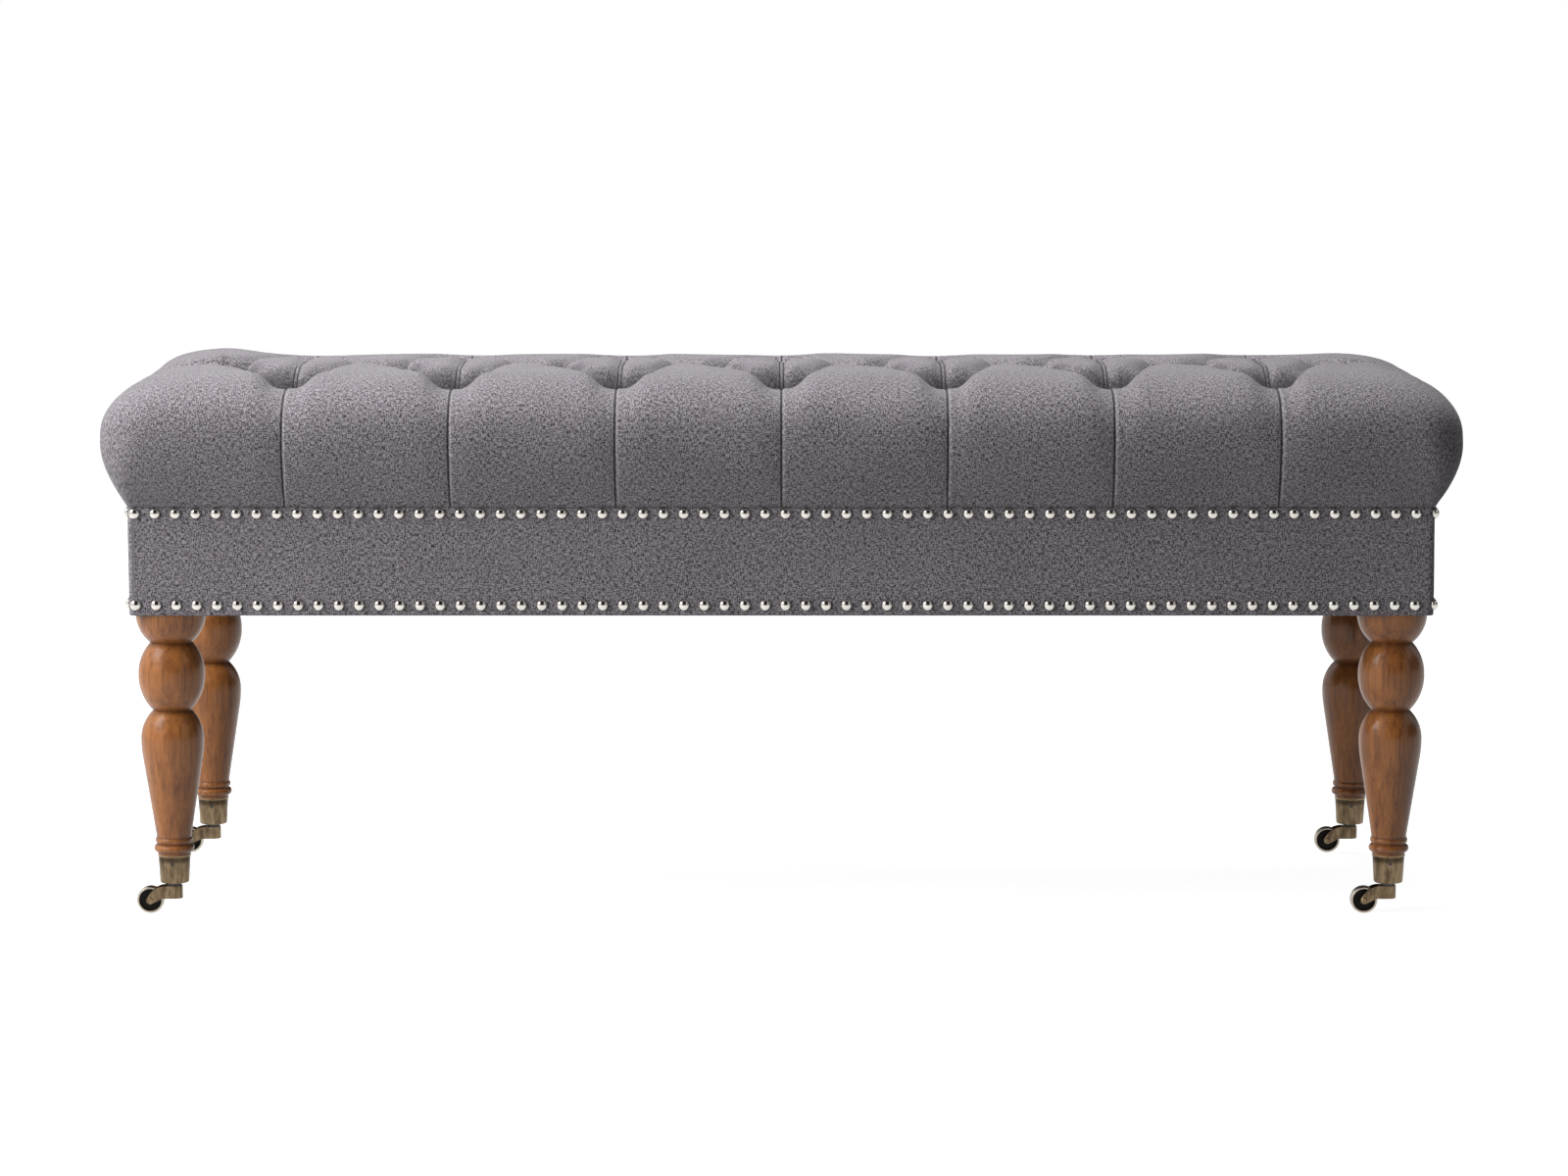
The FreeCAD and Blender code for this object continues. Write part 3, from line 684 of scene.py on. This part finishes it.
def cloth_finish(settings, name, folded):
    """Heathered plain weave: light and dark yarns along both directions of the cloth, a
    scatter of pale slubs, a fine thread bump and a soft sheen. On the folded cover the
    creases and ribs get painted shadow, the rolled edge beside a crease gets a painted
    highlight, and the cloth beside the slants and deep in the folds gets painted shade."""
    finish = Finish(
        name, Roughness=0.86, Sheen_Weight=0.30, Sheen_Roughness=0.45,
        Sheen_Tint=(0.93, 0.92, 0.95),
    )
    cloth = finish.weave()
    warp = finish.noise(finish.scaled(cloth, (1050.0, 270.0, 1.0)), roughness=0.7)
    weft = finish.noise(finish.scaled(cloth, (270.0, 1050.0, 1.0)), roughness=0.7)
    slub = finish.noise(finish.scaled(cloth, (800.0, 860.0, 1.0)), detail=3.0, roughness=0.8)
    cloudy = finish.noise(finish.scaled(cloth, (14.0, 22.0, 1.0)), detail=3.0)
    yarns = warp * 0.36 + weft * 0.34 + slub * 0.30
    colour = finish.ramp(
        yarns,
        (0.447, settings.yarn_dark),
        (0.491, settings.yarn_mid),
        (0.538, settings.yarn_light),
    )
    shade = finish.ramp(cloudy, (0.3, grey(0.90)), (0.7, grey(1.0)))
    colour = finish.node(
        "ShaderNodeMix", {"data_type": "RGBA", "blend_type": "MULTIPLY"},
        {0: 1.0, 6: colour, 7: shade}, 2,
    )
    u, v, _ = finish.parts(cloth)
    turns = math.tau / THREAD_PITCH
    threads = u.math("SINE", u * turns) * v.math("SINE", v * turns)
    height = yarns * 1.6 + threads * 0.12
    normal = finish.bump(height, 0.0005, 0.75)
    if folded:
        pleat, rib, tuck = (finish.attribute(mark) for mark in ("pleat", "rib", "tuck"))
        # Painted shadow: the creases of the pleats and the ribs beside the front buttons are
        # darkened almost to black.
        line = 1 - finish.between(pleat, 0.0004, 0.0013)
        rib_shadow = 1 - finish.between(abs(rib - RIB_OFFSET), 0.0003, 0.0011)
        # Painted highlight: a pale line of light yarn colour along the rolled edge beside each
        # crease.
        edge = 1 - finish.between(abs(pleat - 0.0022), 0.0002, 0.0012)
        # Painted shade: the cloth beside the slants and deep in the folds is darkened towards a
        # fifth of the ground colour.
        shaded = [0.2 * part for part in settings.yarn_mid]
        colour = finish.mix(edge * 0.30, colour, settings.yarn_light)
        colour = finish.mix(finish.between(tuck, 0.0, 1.0) * 0.72, colour, shaded)
        colour = finish.mix(line.math("MAXIMUM", line, rib_shadow) * 0.92, colour, (0.014, 0.012, 0.015))
    return finish.paint(Base_Color=colour, Normal=normal)


def leg_finish(settings):
    """Stained hardwood turned along its grain: long streaks, fine dark pores, painted shade
    in the turned grooves and necks, and a satin lacquer over it."""
    finish = Finish(
        "stained_leg_wood", Coat_Weight=0.6, Coat_Roughness=0.20, Coat_IOR=1.5,
        Specular_IOR_Level=0.25,
    )
    place = finish.place()
    wander = finish.noise(finish.scaled(place, (26.0, 26.0, 7.0)))
    streak = finish.noise(
        finish.scaled(place, (210.0, 210.0, 6.0)), detail=4.0, roughness=0.66, distortion=0.25
    )
    pores = finish.noise(finish.scaled(place, (1100.0, 1100.0, 34.0)), roughness=0.6)
    grain = streak * 0.70 + wander * 0.30
    dark, light = settings.wood_dark, settings.wood_light
    middle = [0.42 * a + 0.58 * b for a, b in zip(dark, light)]
    colour = finish.ramp(grain, (0.30, dark), (0.50, middle), (0.72, light))
    pits = 1 - finish.between(pores, 0.34, 0.47)
    colour = finish.mix(pits * 0.34, colour, [0.6 * part for part in dark])
    _, _, z = finish.parts(place)
    # Painted shade: the turned grooves and necks are darkened by height.
    grooves = None
    for height, reach in LEG_GROOVES:
        near = 1 - finish.between(abs(z - height), 0.0, reach)
        grooves = near if grooves is None else grooves.math("MAXIMUM", grooves, near)
    colour = finish.mix(grooves * 0.5, colour, [0.35 * part for part in dark])
    normal = finish.bump(pits * -1.0 + grain * 0.4, 0.00012, 0.6)
    return finish.paint(Base_Color=colour, Roughness=0.34 + grain * 0.16, Normal=normal)


def brass_finish(settings, name, rubbed, wheel=False):
    """Antique brass: mottled dark patina with rubbed bright places and fine brushing. A
    cup is dark in a band under its lip, patina and painted shade, and its lip has a painted
    highlight. A wheel has a pale rim, and the dished sides inside it are painted black as
    shade up to the hub."""
    finish = Finish(name, Metallic=1.0, Specular_IOR_Level=0.2)
    place = finish.place()
    x, _, z = finish.parts(place)
    mottle = finish.noise(finish.scaled(place, (210.0, 210.0, 60.0)), detail=4.0, roughness=0.55)
    brushed = finish.noise(finish.scaled(place, (700.0, 700.0, 4200.0)))
    rub = finish.between(mottle * 0.7 + brushed * 0.3, 0.36 - rubbed, 0.72 - 0.5 * rubbed)
    colour = finish.mix(rub, settings.brass_patina, settings.brass)
    # Patina and painted shade: a dark band under the cup's lip.
    stained = 1 - finish.between(abs(z - CUP_TOP_Z + 0.0040), 0.0004, 0.0052)
    colour = finish.mix(stained * 0.8, colour, [0.3 * part for part in settings.brass_patina])
    # Painted highlight: the cup's lip is lightened.
    lip_highlight = finish.between(z, CUP_TOP_Z - 0.0016, CUP_TOP_Z - 0.0008)
    bright = [min(1.0, 1.9 * part) for part in settings.brass]
    colour = finish.mix(lip_highlight * 0.7, colour, bright)
    roughness = 0.40 - rub * 0.16
    normal = finish.bump(brushed + mottle, 0.00006, 0.5)
    if not wheel:
        return finish.paint(Base_Color=colour, Roughness=roughness, Normal=normal)
    from_axle = x + CASTER_TRAIL - x.math("SIGN", x) * LEG_X
    up = z - WHEEL_Z
    reach = (from_axle * from_axle + up * up) ** 0.5
    # Painted shade: the wheel's dished recess between the hub and the rim is painted black and not
    # metallic.
    recess = 1 - finish.between(reach, *RECESS_EDGE)
    recess_shade = recess * finish.between(reach, *HUB_EDGE)
    rim = finish.between(reach, *RIM_EDGE)
    colour = finish.mix(rim * 0.8, colour, (0.74, 0.68, 0.58))
    colour = finish.mix(recess_shade, colour, (0.006, 0.004, 0.003))
    return finish.paint(
        Base_Color=colour, Roughness=roughness + recess_shade * 0.15, Metallic=1 - recess_shade, Normal=normal
    )


def nickel_finish():
    """Polished nickel nail heads with a faint uneven lustre."""
    finish = Finish("polished_nickel", Metallic=1.0)
    place = finish.place()
    haze = finish.noise(place, scale=260.0, detail=3.0)
    colour = finish.ramp(haze, (0.3, (0.78, 0.74, 0.68)), (0.7, (0.90, 0.87, 0.82)))
    return finish.paint(Base_Color=colour, Roughness=0.05 + haze * 0.08)


def steel_finish(name, dark, light, roughness):
    """Turned steel: fine marks round the part and a slight stain."""
    finish = Finish(name, Metallic=1.0)
    place = finish.place()
    marks = finish.noise(finish.scaled(place, (90.0, 90.0, 5200.0)))
    stain = finish.noise(place, scale=180.0, detail=3.0)
    colour = finish.ramp(stain * 0.6 + marks * 0.4, (0.35, grey(dark)), (0.65, grey(light)))
    normal = finish.bump(marks, 0.00004, 0.4)
    return finish.paint(Base_Color=colour, Roughness=roughness + marks * 0.12, Normal=normal)


def plank_finish(name, dark, light, along):
    """Unfinished wood of the frame, with its grain along one axis."""
    finish = Finish(name)
    place = finish.place()
    streak = finish.noise(finish.scaled(place, along), detail=4.0, distortion=0.4)
    colour = finish.ramp(streak, (0.35, dark), (0.65, light))
    normal = finish.bump(streak, 0.0003, 0.4)
    return finish.paint(Base_Color=colour, Roughness=0.62 + streak * 0.2, Normal=normal)


def plain_cloth_finish(name, dark, light, scale):
    """Thin non-woven or twisted cloth: a speckle of two tones and a dimpled bump."""
    finish = Finish(name, Sheen_Weight=0.1)
    place = finish.place()
    speckle = finish.noise(place, scale=scale)
    dimples = finish.node("ShaderNodeTexVoronoi", {}, {"Vector": place, "Scale": scale * 0.5})
    colour = finish.ramp(speckle, (0.35, dark), (0.65, light))
    normal = finish.bump(dimples * 0.7 + speckle * 0.5, 0.0004, 0.6)
    return finish.paint(Base_Color=colour, Roughness=0.84 + speckle * 0.1, Normal=normal)


def band_path(distance, inset):
    """Points and outward directions that far round the band's rounded outline, taken in by
    inset: four straights joined by quarter circles, from the left end of the front."""
    straight_x = 2 * (HALF_LENGTH - SEAM_CORNER)
    straight_y = 2 * (HALF_DEPTH - SEAM_CORNER)
    quarter = SEAM_CORNER * math.pi / 2
    lengths = np.array([straight_x, quarter, straight_y, quarter] * 2)
    starts = np.concatenate([[0.0], np.cumsum(lengths)])
    distance = np.asarray(distance) % starts[-1]
    leg = np.clip(np.searchsorted(starts, distance, side="right") - 1, 0, 7)
    side, on_turn = leg // 2, leg % 2 == 1
    gone = distance - starts[leg]
    heading = side * math.pi / 2 + np.where(on_turn, gone / SEAM_CORNER, 0.0)
    sx = np.array([-1, 1, 1, -1])[side]
    sy = np.array([-1, -1, 1, 1])[side]
    next_x = np.array([1, 1, -1, -1])[side]
    next_y = np.array([-1, 1, 1, -1])[side]
    base_x = np.where(on_turn, next_x, sx) * (HALF_LENGTH - SEAM_CORNER)
    base_y = np.where(on_turn, next_y, sy) * (HALF_DEPTH - SEAM_CORNER)
    along = np.where(on_turn, 0.0, gone)
    out_x, out_y = np.sin(heading), -np.cos(heading)
    run_x, run_y = np.cos(side * math.pi / 2), np.sin(side * math.pi / 2)
    x = base_x + run_x * along + out_x * (SEAM_CORNER - inset)
    y = base_y + run_y * along + out_y * (SEAM_CORNER - inset)
    return x, y, out_x, out_y, starts[-1]


def nail_distances():
    """Distances of a row's nails round the band, at even steps."""
    outline = band_path(0.0, 0.0)[-1]
    return (NAIL_START + np.arange(NAIL_COUNT) * outline / NAIL_COUNT) % outline


def band_surface():
    """The nailed fabric band: its section, from the top edge down the face, round the hem
    and in under the rails, is carried round the rounded outline. Each nail draws the cloth
    in by a small dimple, a bell curve of the distance to it, and sine waves of a fifth of a
    millimetre loosen the face between them."""
    outline = band_path(0.0, 0.0)[-1]
    around = np.linspace(0.0, outline, BAND_STEPS, endpoint=False)
    height = BAND_HIGH[2] - BAND_LOW[2]
    face = np.linspace(0.0, height - HEM_RADIUS, FACE_STEPS)[1:]
    turn = np.linspace(0.0, math.pi / 2, 5)[1:]
    inset = np.concatenate(
        [
            [0.0030, 0.0012, 0.0],
            np.zeros(len(face)),
            HEM_RADIUS * (1 - np.cos(turn)),
            [0.008, HEM_WIDTH],
        ]
    )
    drop = np.concatenate(
        [
            [0.0, 0.0001, 0.0007],
            face,
            height - HEM_RADIUS + HEM_RADIUS * np.sin(turn),
            [height, height],
        ]
    )
    cloth_down = np.concatenate([[0.0], np.cumsum(np.hypot(np.diff(inset), np.diff(drop)))])
    way, row = np.meshgrid(around, np.arange(len(inset)), indexing="ij")
    nails = nail_distances()
    nearest = np.abs(to_lattice(way - nails[0], outline / NAIL_COUNT))
    z = BAND_HIGH[2] - drop[row]
    dimple = np.zeros_like(way)
    for nail_z in NAIL_ROWS.values():
        dimple += np.exp(-((nearest / DIMPLE_RADIUS) ** 2) - ((z - nail_z) / DIMPLE_RADIUS) ** 2)
    slack = 0.00018 * (np.sin(way * 23.0) + np.sin(way * 61.0 + z * 40.0))
    slack *= smooth_step(0.002, 0.02, drop[row])
    slack *= 1 - smooth_step(height - 0.02, height - 0.002, drop[row])
    depth = inset[row] + DIMPLE_DEPTH * dimple + slack
    x, y, _, _, _ = band_path(way, depth)
    points = np.stack([x, y, z], -1).reshape(-1, 3)
    uv = np.stack([way, cloth_down[row]], -1).reshape(-1, 2)
    faces = quads_of(len(around), len(inset), close_rows=True)
    return points, faces, uv


def dome_points(radius, height, top, spokes):
    """Points of a dome about the upward axis: rings of the given radii and heights, from the
    rim up, and then the tip at top."""
    spoke = np.arange(spokes) * math.tau / spokes
    x, y = np.outer(radius, np.cos(spoke)), np.outer(radius, np.sin(spoke))
    rings = np.stack([x, y, np.broadcast_to(height[:, None], x.shape)], -1).reshape(-1, 3)
    return np.concatenate([rings, [[0.0, 0.0, top]]])


def dome_faces(count, rings, spokes):
    """Faces of that many closed domes. Each has its rings of points from the rim up, then
    one point at the tip: quads between the rings, triangles round the tip, a flat base."""
    step = np.arange(count)[:, None, None] * (rings * spokes + 1)
    quads = quads_of(rings, spokes, close_columns=True)
    around, last = np.arange(spokes), (rings - 1) * spokes
    after, top = (around + 1) % spokes, np.full(spokes, rings * spokes)
    tip = np.stack([last + around, last + after, top], -1)
    base = around[None, ::-1]
    return [(part[None] + step).reshape(-1, part.shape[1]) for part in (quads, tip, base)]


def nail_surface(nail_z):
    """A row of domed heads: rings of half an ellipsoid about each nail's outward axis."""
    rings, spokes = 4, 14
    lift = np.linspace(0.0, math.pi / 2, rings + 1)[:-1]
    local = dome_points(NAIL_RADIUS * np.cos(lift), NAIL_RISE * np.sin(lift), NAIL_RISE, spokes)
    across, up, proud = local.T + [[0.0], [0.0], [NAIL_SEAT]]
    x, y, out_x, out_y, _ = band_path(nail_distances(), 0.0)
    x, y, out_x, out_y = (values[:, None] for values in (x, y, out_x, out_y))
    points = np.stack(
        [
            x - out_y * across + out_x * proud,
            y + out_x * across + out_y * proud,
            nail_z + np.broadcast_to(up, (NAIL_COUNT, len(local))),
        ],
        -1,
    )
    return points.reshape(-1, 3), dome_faces(NAIL_COUNT, rings, spokes)


def button_places():
    """Plan positions of the buttons in their three rows."""
    outer = np.arange(-3, 4) * PITCH
    middle = (np.arange(8) - 3.5) * PITCH
    x = np.concatenate([outer, middle, outer])
    y = np.concatenate([np.full(7, -ROW_Y), np.zeros(8), np.full(7, ROW_Y)])
    return x, y


def button_surface():
    """Covered buttons: a section that rises from the rim and rounds over into a low dome,
    a superellipse of power 2.5, turned about each button's axis."""
    rings, spokes = 9, 28
    lift = np.linspace(0.0, math.pi / 2, rings + 1)[:-1]
    radius, height = BUTTON_RADIUS * np.cos(lift) ** 0.8, BUTTON_RISE * np.sin(lift) ** 0.8
    local = dome_points(radius, height, BUTTON_RISE, spokes)
    x, y = button_places()
    centre = np.stack([x, y, np.full(len(x), BUTTON_BASE_Z)], -1)
    points = centre[:, None] + local[None]
    points = points.reshape(-1, 3)
    return points, dome_faces(len(x), rings, spokes), points[:, :2]


def dust_surface():
    """The cloth under the frame: a level grid with square cuts round the legs. It sags
    between its stapled edges by the root of a product of cosines, and ripples slightly
    away from them."""
    low, high = (np.array(corner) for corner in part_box("dust_cover"))
    cut_x, cut_y = LEG_X - DUST_CUT, LEG_Y - DUST_CUT

    def stations(low, cut, high, count):
        """Places along one side: eight before each cut, and the count between the cuts."""
        return np.concatenate(
            [
                np.linspace(low, -cut, 8),
                np.linspace(-cut, cut, count)[1:-1],
                np.linspace(cut, high, 8),
            ]
        )

    xs = stations(low[0], cut_x, high[0], 120)
    ys = stations(low[1], cut_y, high[1], 36)
    y, x = np.meshgrid(ys, xs, indexing="ij")
    sag_x = np.cos(x / high[0] * math.pi / 2).clip(0) ** 0.5
    sag = sag_x * np.cos(y / high[1] * math.pi / 2).clip(0) ** 0.5
    edge = 1 - np.minimum(1.0, np.minimum(high[0] - abs(x), high[1] - abs(y)) / 0.03)
    ripple = 0.0003 * np.sin(x * 150.0) * np.sin(y * 150.0 + 1.0)
    z = low[2] + 0.0004 - 0.0025 * sag + ripple * (1 - edge)
    points = np.stack([x, y, z], -1).reshape(-1, 3)
    quads = quads_of(len(ys), len(xs))
    middle = points[quads].mean(1)
    kept = (abs(middle[:, 0]) < cut_x) | (abs(middle[:, 1]) < cut_y)
    quads = quads[kept][:, ::-1]
    used = np.unique(quads)
    return points[used], np.searchsorted(used, quads)


class BENCH_OT_finishes(Operator):
    """Makes the materials and gives the carried-over nodes theirs"""

    bl_idname = "bench.finishes"
    bl_label = "Finishes"

    def execute(self, context):
        settings = context.scene.bench_finish
        made = {
            "bench_cloth": cloth_finish(settings, "bench_cloth", False),
            "folded_cloth": cloth_finish(settings, "folded_cloth", True),
            "foam": plain_cloth_finish(
                "seat_foam_block", (0.50, 0.45, 0.32), (0.66, 0.60, 0.45), 300.0
            ),
            "leg_wood": leg_finish(settings),
            "frame_wood": plank_finish(
                "frame_softwood", (0.42, 0.27, 0.14), (0.60, 0.43, 0.26), (6.0, 60.0, 60.0)
            ),
            "plywood": plank_finish(
                "board_plywood", (0.45, 0.30, 0.16), (0.62, 0.46, 0.28), (5.0, 40.0, 700.0)
            ),
            "dust_cloth": plain_cloth_finish("black_dust_cloth", grey(0.008), grey(0.018), 900.0),
            "twine": plain_cloth_finish(
                "waxed_twine", (0.40, 0.35, 0.26), (0.58, 0.52, 0.42), 2000.0
            ),
            "nickel": nickel_finish(),
            "antique_brass": brass_finish(settings, "rubbed_brass", 0.06),
            "wheel_brass": brass_finish(settings, "wheel_brass", 0.10, True),
            "dark_steel": steel_finish("blackened_steel", 0.05, 0.12, 0.40),
            "zinc_steel": steel_finish("zinc_plate", 0.45, 0.60, 0.32),
        }
        slots = {
            "seat_board": "plywood", "tee_nuts": "zinc_steel", "hanger_bolts": "zinc_steel",
            "seat_foam": "foam", "button_twines": "twine", "cup_screws": "dark_steel",
            "frame_cross_rails": "frame_wood", "corner_blocks": "frame_wood",
        }
        slots.update(dict.fromkeys(RAILS, "frame_wood"))
        for corner in CORNERS:
            slots["leg_" + corner] = "leg_wood"
            for kind in ("caster_cup_", "caster_horn_", "caster_axle_", "caster_kingpin_"):
                slots[kind + corner] = "antique_brass"
            slots["caster_collar_" + corner] = "dark_steel"
            slots["caster_wheel_" + corner] = "wheel_brass"
        for name, finish in slots.items():
            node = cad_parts[name]
            node.data.materials.clear()
            node.data.materials.append(made[finish])
        return {"FINISHED"}


class BENCH_OT_cushion(Operator):
    """Makes the tufted cushion and its covered buttons"""

    bl_idname = "bench.cushion"
    bl_label = "Tufted cushion"

    def execute(self, context):
        i, j, points, cloth, marks = tufted_cushion(context.scene.bench_cushion)
        marks = {name: values.ravel() for name, values in marks.items()}
        points, cloth = points.reshape(-1, 3), cloth.reshape(-1, 2)
        cushion = make_piece("tufted_cushion", points, cushion_faces(i, j), cloth, marks)
        finish_piece(cushion, "folded_cloth", stands_for=("seat_cover", "seat_foam"))
        buttons = make_piece("covered_buttons", *button_surface())
        finish_piece(buttons, "bench_cloth", stands_for=("tuft_buttons",))
        return {"FINISHED"}


class BENCH_OT_band(Operator):
    """Makes the nailed fabric band, its two rows of nails and the cloth underneath"""

    bl_idname = "bench.band"
    bl_label = "Nailed band"

    def execute(self, context):
        points, faces, uv = band_surface()
        band = make_piece("nailed_band", points, (faces,), uv)
        finish_piece(band, "bench_cloth", stands_for=("apron_fabric",))
        width, length = np.ptp(uv[:, 1]), band_path(0.0, 0.0)[-1]
        for row, height in NAIL_ROWS.items():
            nails = make_piece("domed_nails_" + row, *nail_surface(height))
            finish_piece(nails, "polished_nickel", stands_for=("nails_" + row,))
        points, quads = dust_surface()
        dust = make_piece("dust_cloth", points, (quads,))
        thickness = dust.modifiers.new("thickness", "SOLIDIFY")
        thickness.thickness, thickness.offset = 0.0006, -1.0
        finish_piece(dust, "black_dust_cloth", stands_for=("dust_cover",))
        return {"FINISHED"}


class BENCH_OT_stage(Operator):
    """Makes the floor, the lamps, the sky and the camera"""

    bl_idname = "bench.stage"
    bl_label = "Stage"

    def execute(self, context):
        settings = context.scene.bench_stage
        scene = context.scene
        scene.view_settings.view_transform = "Standard"
        reach = 60.0
        corners = reach * np.array([(-1, -1, 0), (1, -1, 0), (1, 1, 0), (-1, 1, 0)])
        floor = make_piece("floor", corners, (np.array([[0, 1, 2, 3]]),), smooth=False)
        finish = Finish("floor_white", Base_Color=grey(0.40), Roughness=0.9)
        path = finish.node("ShaderNodeLightPath", {}, {})
        mirrored = Value(finish, path.socket.node.outputs["Is Glossy Ray"])
        x, y, _ = finish.parts(finish.place())
        distance = (x * x + y * y) ** 0.5
        strength = path * (0.90 + finish.between(distance, 0.6, 2.6) * 0.10) + mirrored * 0.55
        glow = finish.node("ShaderNodeEmission", {}, {"Color": grey(1.0), "Strength": strength})
        surface = Value(finish, finish.surface.outputs[0])
        both = finish.node("ShaderNodeAddShader", {}, {0: surface, 1: glow})
        finish.tree.links.new(both.socket, finish.tree.nodes["Material Output"].inputs["Surface"])
        floor.data.materials.append(finish.material)
        self.make_sky(scene, settings)
        left, above, front = settings.left_power, settings.top_power, settings.front_power
        for name, place, target, size, power in (
            ("top_lamp", (-0.2, 0.3, 2.4), (0.0, 0.0, 0.4), (2.4, 1.6), above),
            ("near_lamp", (-1.7, -0.5, 1.1), (-0.3, 0.0, 0.35), (0.9, 0.9), 0.12 * left),
            ("key_lamp", (-2.4, -1.0, 2.2), (-0.2, 0.0, 0.3), (1.4, 1.4), 0.28 * left),
            ("side_lamp", (-2.7, -2.4, 1.4), (-0.2, 0.0, 0.3), (1.4, 1.4), 0.60 * left),
            ("front_lamp", (-0.3, -3.6, 1.0), (0.0, 0.0, 0.3), (1.6, 1.6), front),
        ):
            lamp = self.make_lamp(scene, name, place, target, size, power)
            lamp.visible_glossy = name == "key_lamp"
        camera = bpy.data.cameras.new("camera")
        camera.lens = settings.lens
        camera.sensor_width = 36.0
        camera.clip_end = 100.0
        eye = bpy.data.objects.new("camera", camera)
        scene.collection.objects.link(eye)
        eye.location = CAMERA_PLACE
        eye.rotation_euler = (math.radians(90.0 - CAMERA_DIP), 0.0, 0.0)
        scene.camera = eye
        return {"FINISHED"}

    def make_sky(self, scene, settings):
        """White to the camera. Polished pieces reflect a dark studio above the horizon, with
        a broad pale screen on the left and a narrow one on the right, and a white one below
        it. Everything else gets an even grey light."""
        world = bpy.data.worlds.new("sky")
        scene.world = world
        world.use_nodes = True
        nodes, links = world.node_tree.nodes, world.node_tree.links
        nodes.clear()
        path = nodes.new("ShaderNodeLightPath")
        place = nodes.new("ShaderNodeTexCoord")
        split = nodes.new("ShaderNodeSeparateXYZ")
        links.new(place.outputs["Generated"], split.inputs[0])
        half = nodes.new("ShaderNodeMath")
        half.operation = "MULTIPLY_ADD"
        half.inputs[1].default_value = half.inputs[2].default_value = 0.5
        links.new(split.outputs["X"], half.inputs[0])

        def levels(stops, source):
            ramp = nodes.new("ShaderNodeValToRGB")
            while len(ramp.color_ramp.elements) < len(stops):
                ramp.color_ramp.elements.new(0.5)
            for element, (position, level) in zip(ramp.color_ramp.elements, stops):
                element.position, element.color = position, (*grey(level), 1.0)
            links.new(source, ramp.inputs[0])
            return ramp.outputs[0]

        screens = (
            (0.0, 0.95), (0.29, 0.75), (0.35, 0.02), (0.80, 0.02), (0.85, 0.6), (0.92, 0.6),
            (0.96, 0.02),
        )
        ramp = nodes.new("ShaderNodeMix")
        ramp.data_type = "RGBA"
        links.new(levels(((0.0, 0.0), (0.05, 1.0)), split.outputs["Z"]), ramp.inputs[0])
        ramp.inputs[6].default_value = (1.0, 0.98, 0.93, 1.0)
        links.new(levels(screens, half.outputs[0]), ramp.inputs[7])
        even = nodes.new("ShaderNodeMix")
        even.data_type = "RGBA"
        even.inputs[6].default_value = (*grey(settings.sky), 1.0)
        links.new(path.outputs["Is Glossy Ray"], even.inputs[0])
        links.new(ramp.outputs[2], even.inputs[7])
        white = nodes.new("ShaderNodeMix")
        white.data_type = "RGBA"
        white.inputs[7].default_value = (1.0, 1.0, 1.0, 1.0)
        links.new(path.outputs["Is Camera Ray"], white.inputs[0])
        links.new(even.outputs[2], white.inputs[6])
        background = nodes.new("ShaderNodeBackground")
        links.new(white.outputs[2], background.inputs["Color"])
        output = nodes.new("ShaderNodeOutputWorld")
        links.new(background.outputs[0], output.inputs[0])

    def make_lamp(self, scene, name, place, target, size, power):
        """A soft box of that width and height at place, turned towards target."""
        lamp = bpy.data.lights.new(name, "AREA")
        lamp.shape = "RECTANGLE"
        lamp.size, lamp.size_y = size
        lamp.energy = power
        holder = bpy.data.objects.new(name, lamp)
        scene.collection.objects.link(holder)
        away = [a - b for a, b in zip(place, target)]
        reach = math.hypot(*away[:2])
        holder.location = place
        holder.rotation_euler = (
            math.atan2(reach, away[2]), 0.0, math.atan2(away[1], away[0]) + math.pi / 2,
        )
        return holder


class BENCH_PT_panel(Panel):
    bl_label = "Upholstered bench"
    bl_idname = "BENCH_PT_panel"
    bl_space_type = "VIEW_3D"
    bl_region_type = "UI"
    bl_category = "Bench"

    def draw(self, context):
        for group, operators in (
            ("bench_finish", (BENCH_OT_finishes,)),
            ("bench_cushion", (BENCH_OT_cushion, BENCH_OT_band)),
            ("bench_stage", (BENCH_OT_stage,)),
        ):
            box = self.layout.box()
            settings = getattr(context.scene, group)
            for name in settings.__annotations__:
                box.prop(settings, name)
            for operator in operators:
                box.operator(operator.bl_idname)


SETTINGS = {
    "bench_cushion": CushionSettings,
    "bench_finish": FinishSettings,
    "bench_stage": StageSettings,
}
OPERATORS = (BENCH_OT_finishes, BENCH_OT_cushion, BENCH_OT_band, BENCH_OT_stage)


def register():
    for name, group in SETTINGS.items():
        bpy.utils.register_class(group)
        setattr(bpy.types.Scene, name, PointerProperty(type=group))
    for item in (*OPERATORS, BENCH_PT_panel):
        bpy.utils.register_class(item)


def unregister():
    for item in (BENCH_PT_panel, *reversed(OPERATORS)):
        bpy.utils.unregister_class(item)
    for name, group in reversed(SETTINGS.items()):
        delattr(bpy.types.Scene, name)
        bpy.utils.unregister_class(group)


def main():
    register()
    bpy.ops.bench.finishes()
    bpy.ops.bench.cushion()
    bpy.ops.bench.band()
    bpy.ops.bench.stage()


if __name__ == "__main__":
    main()
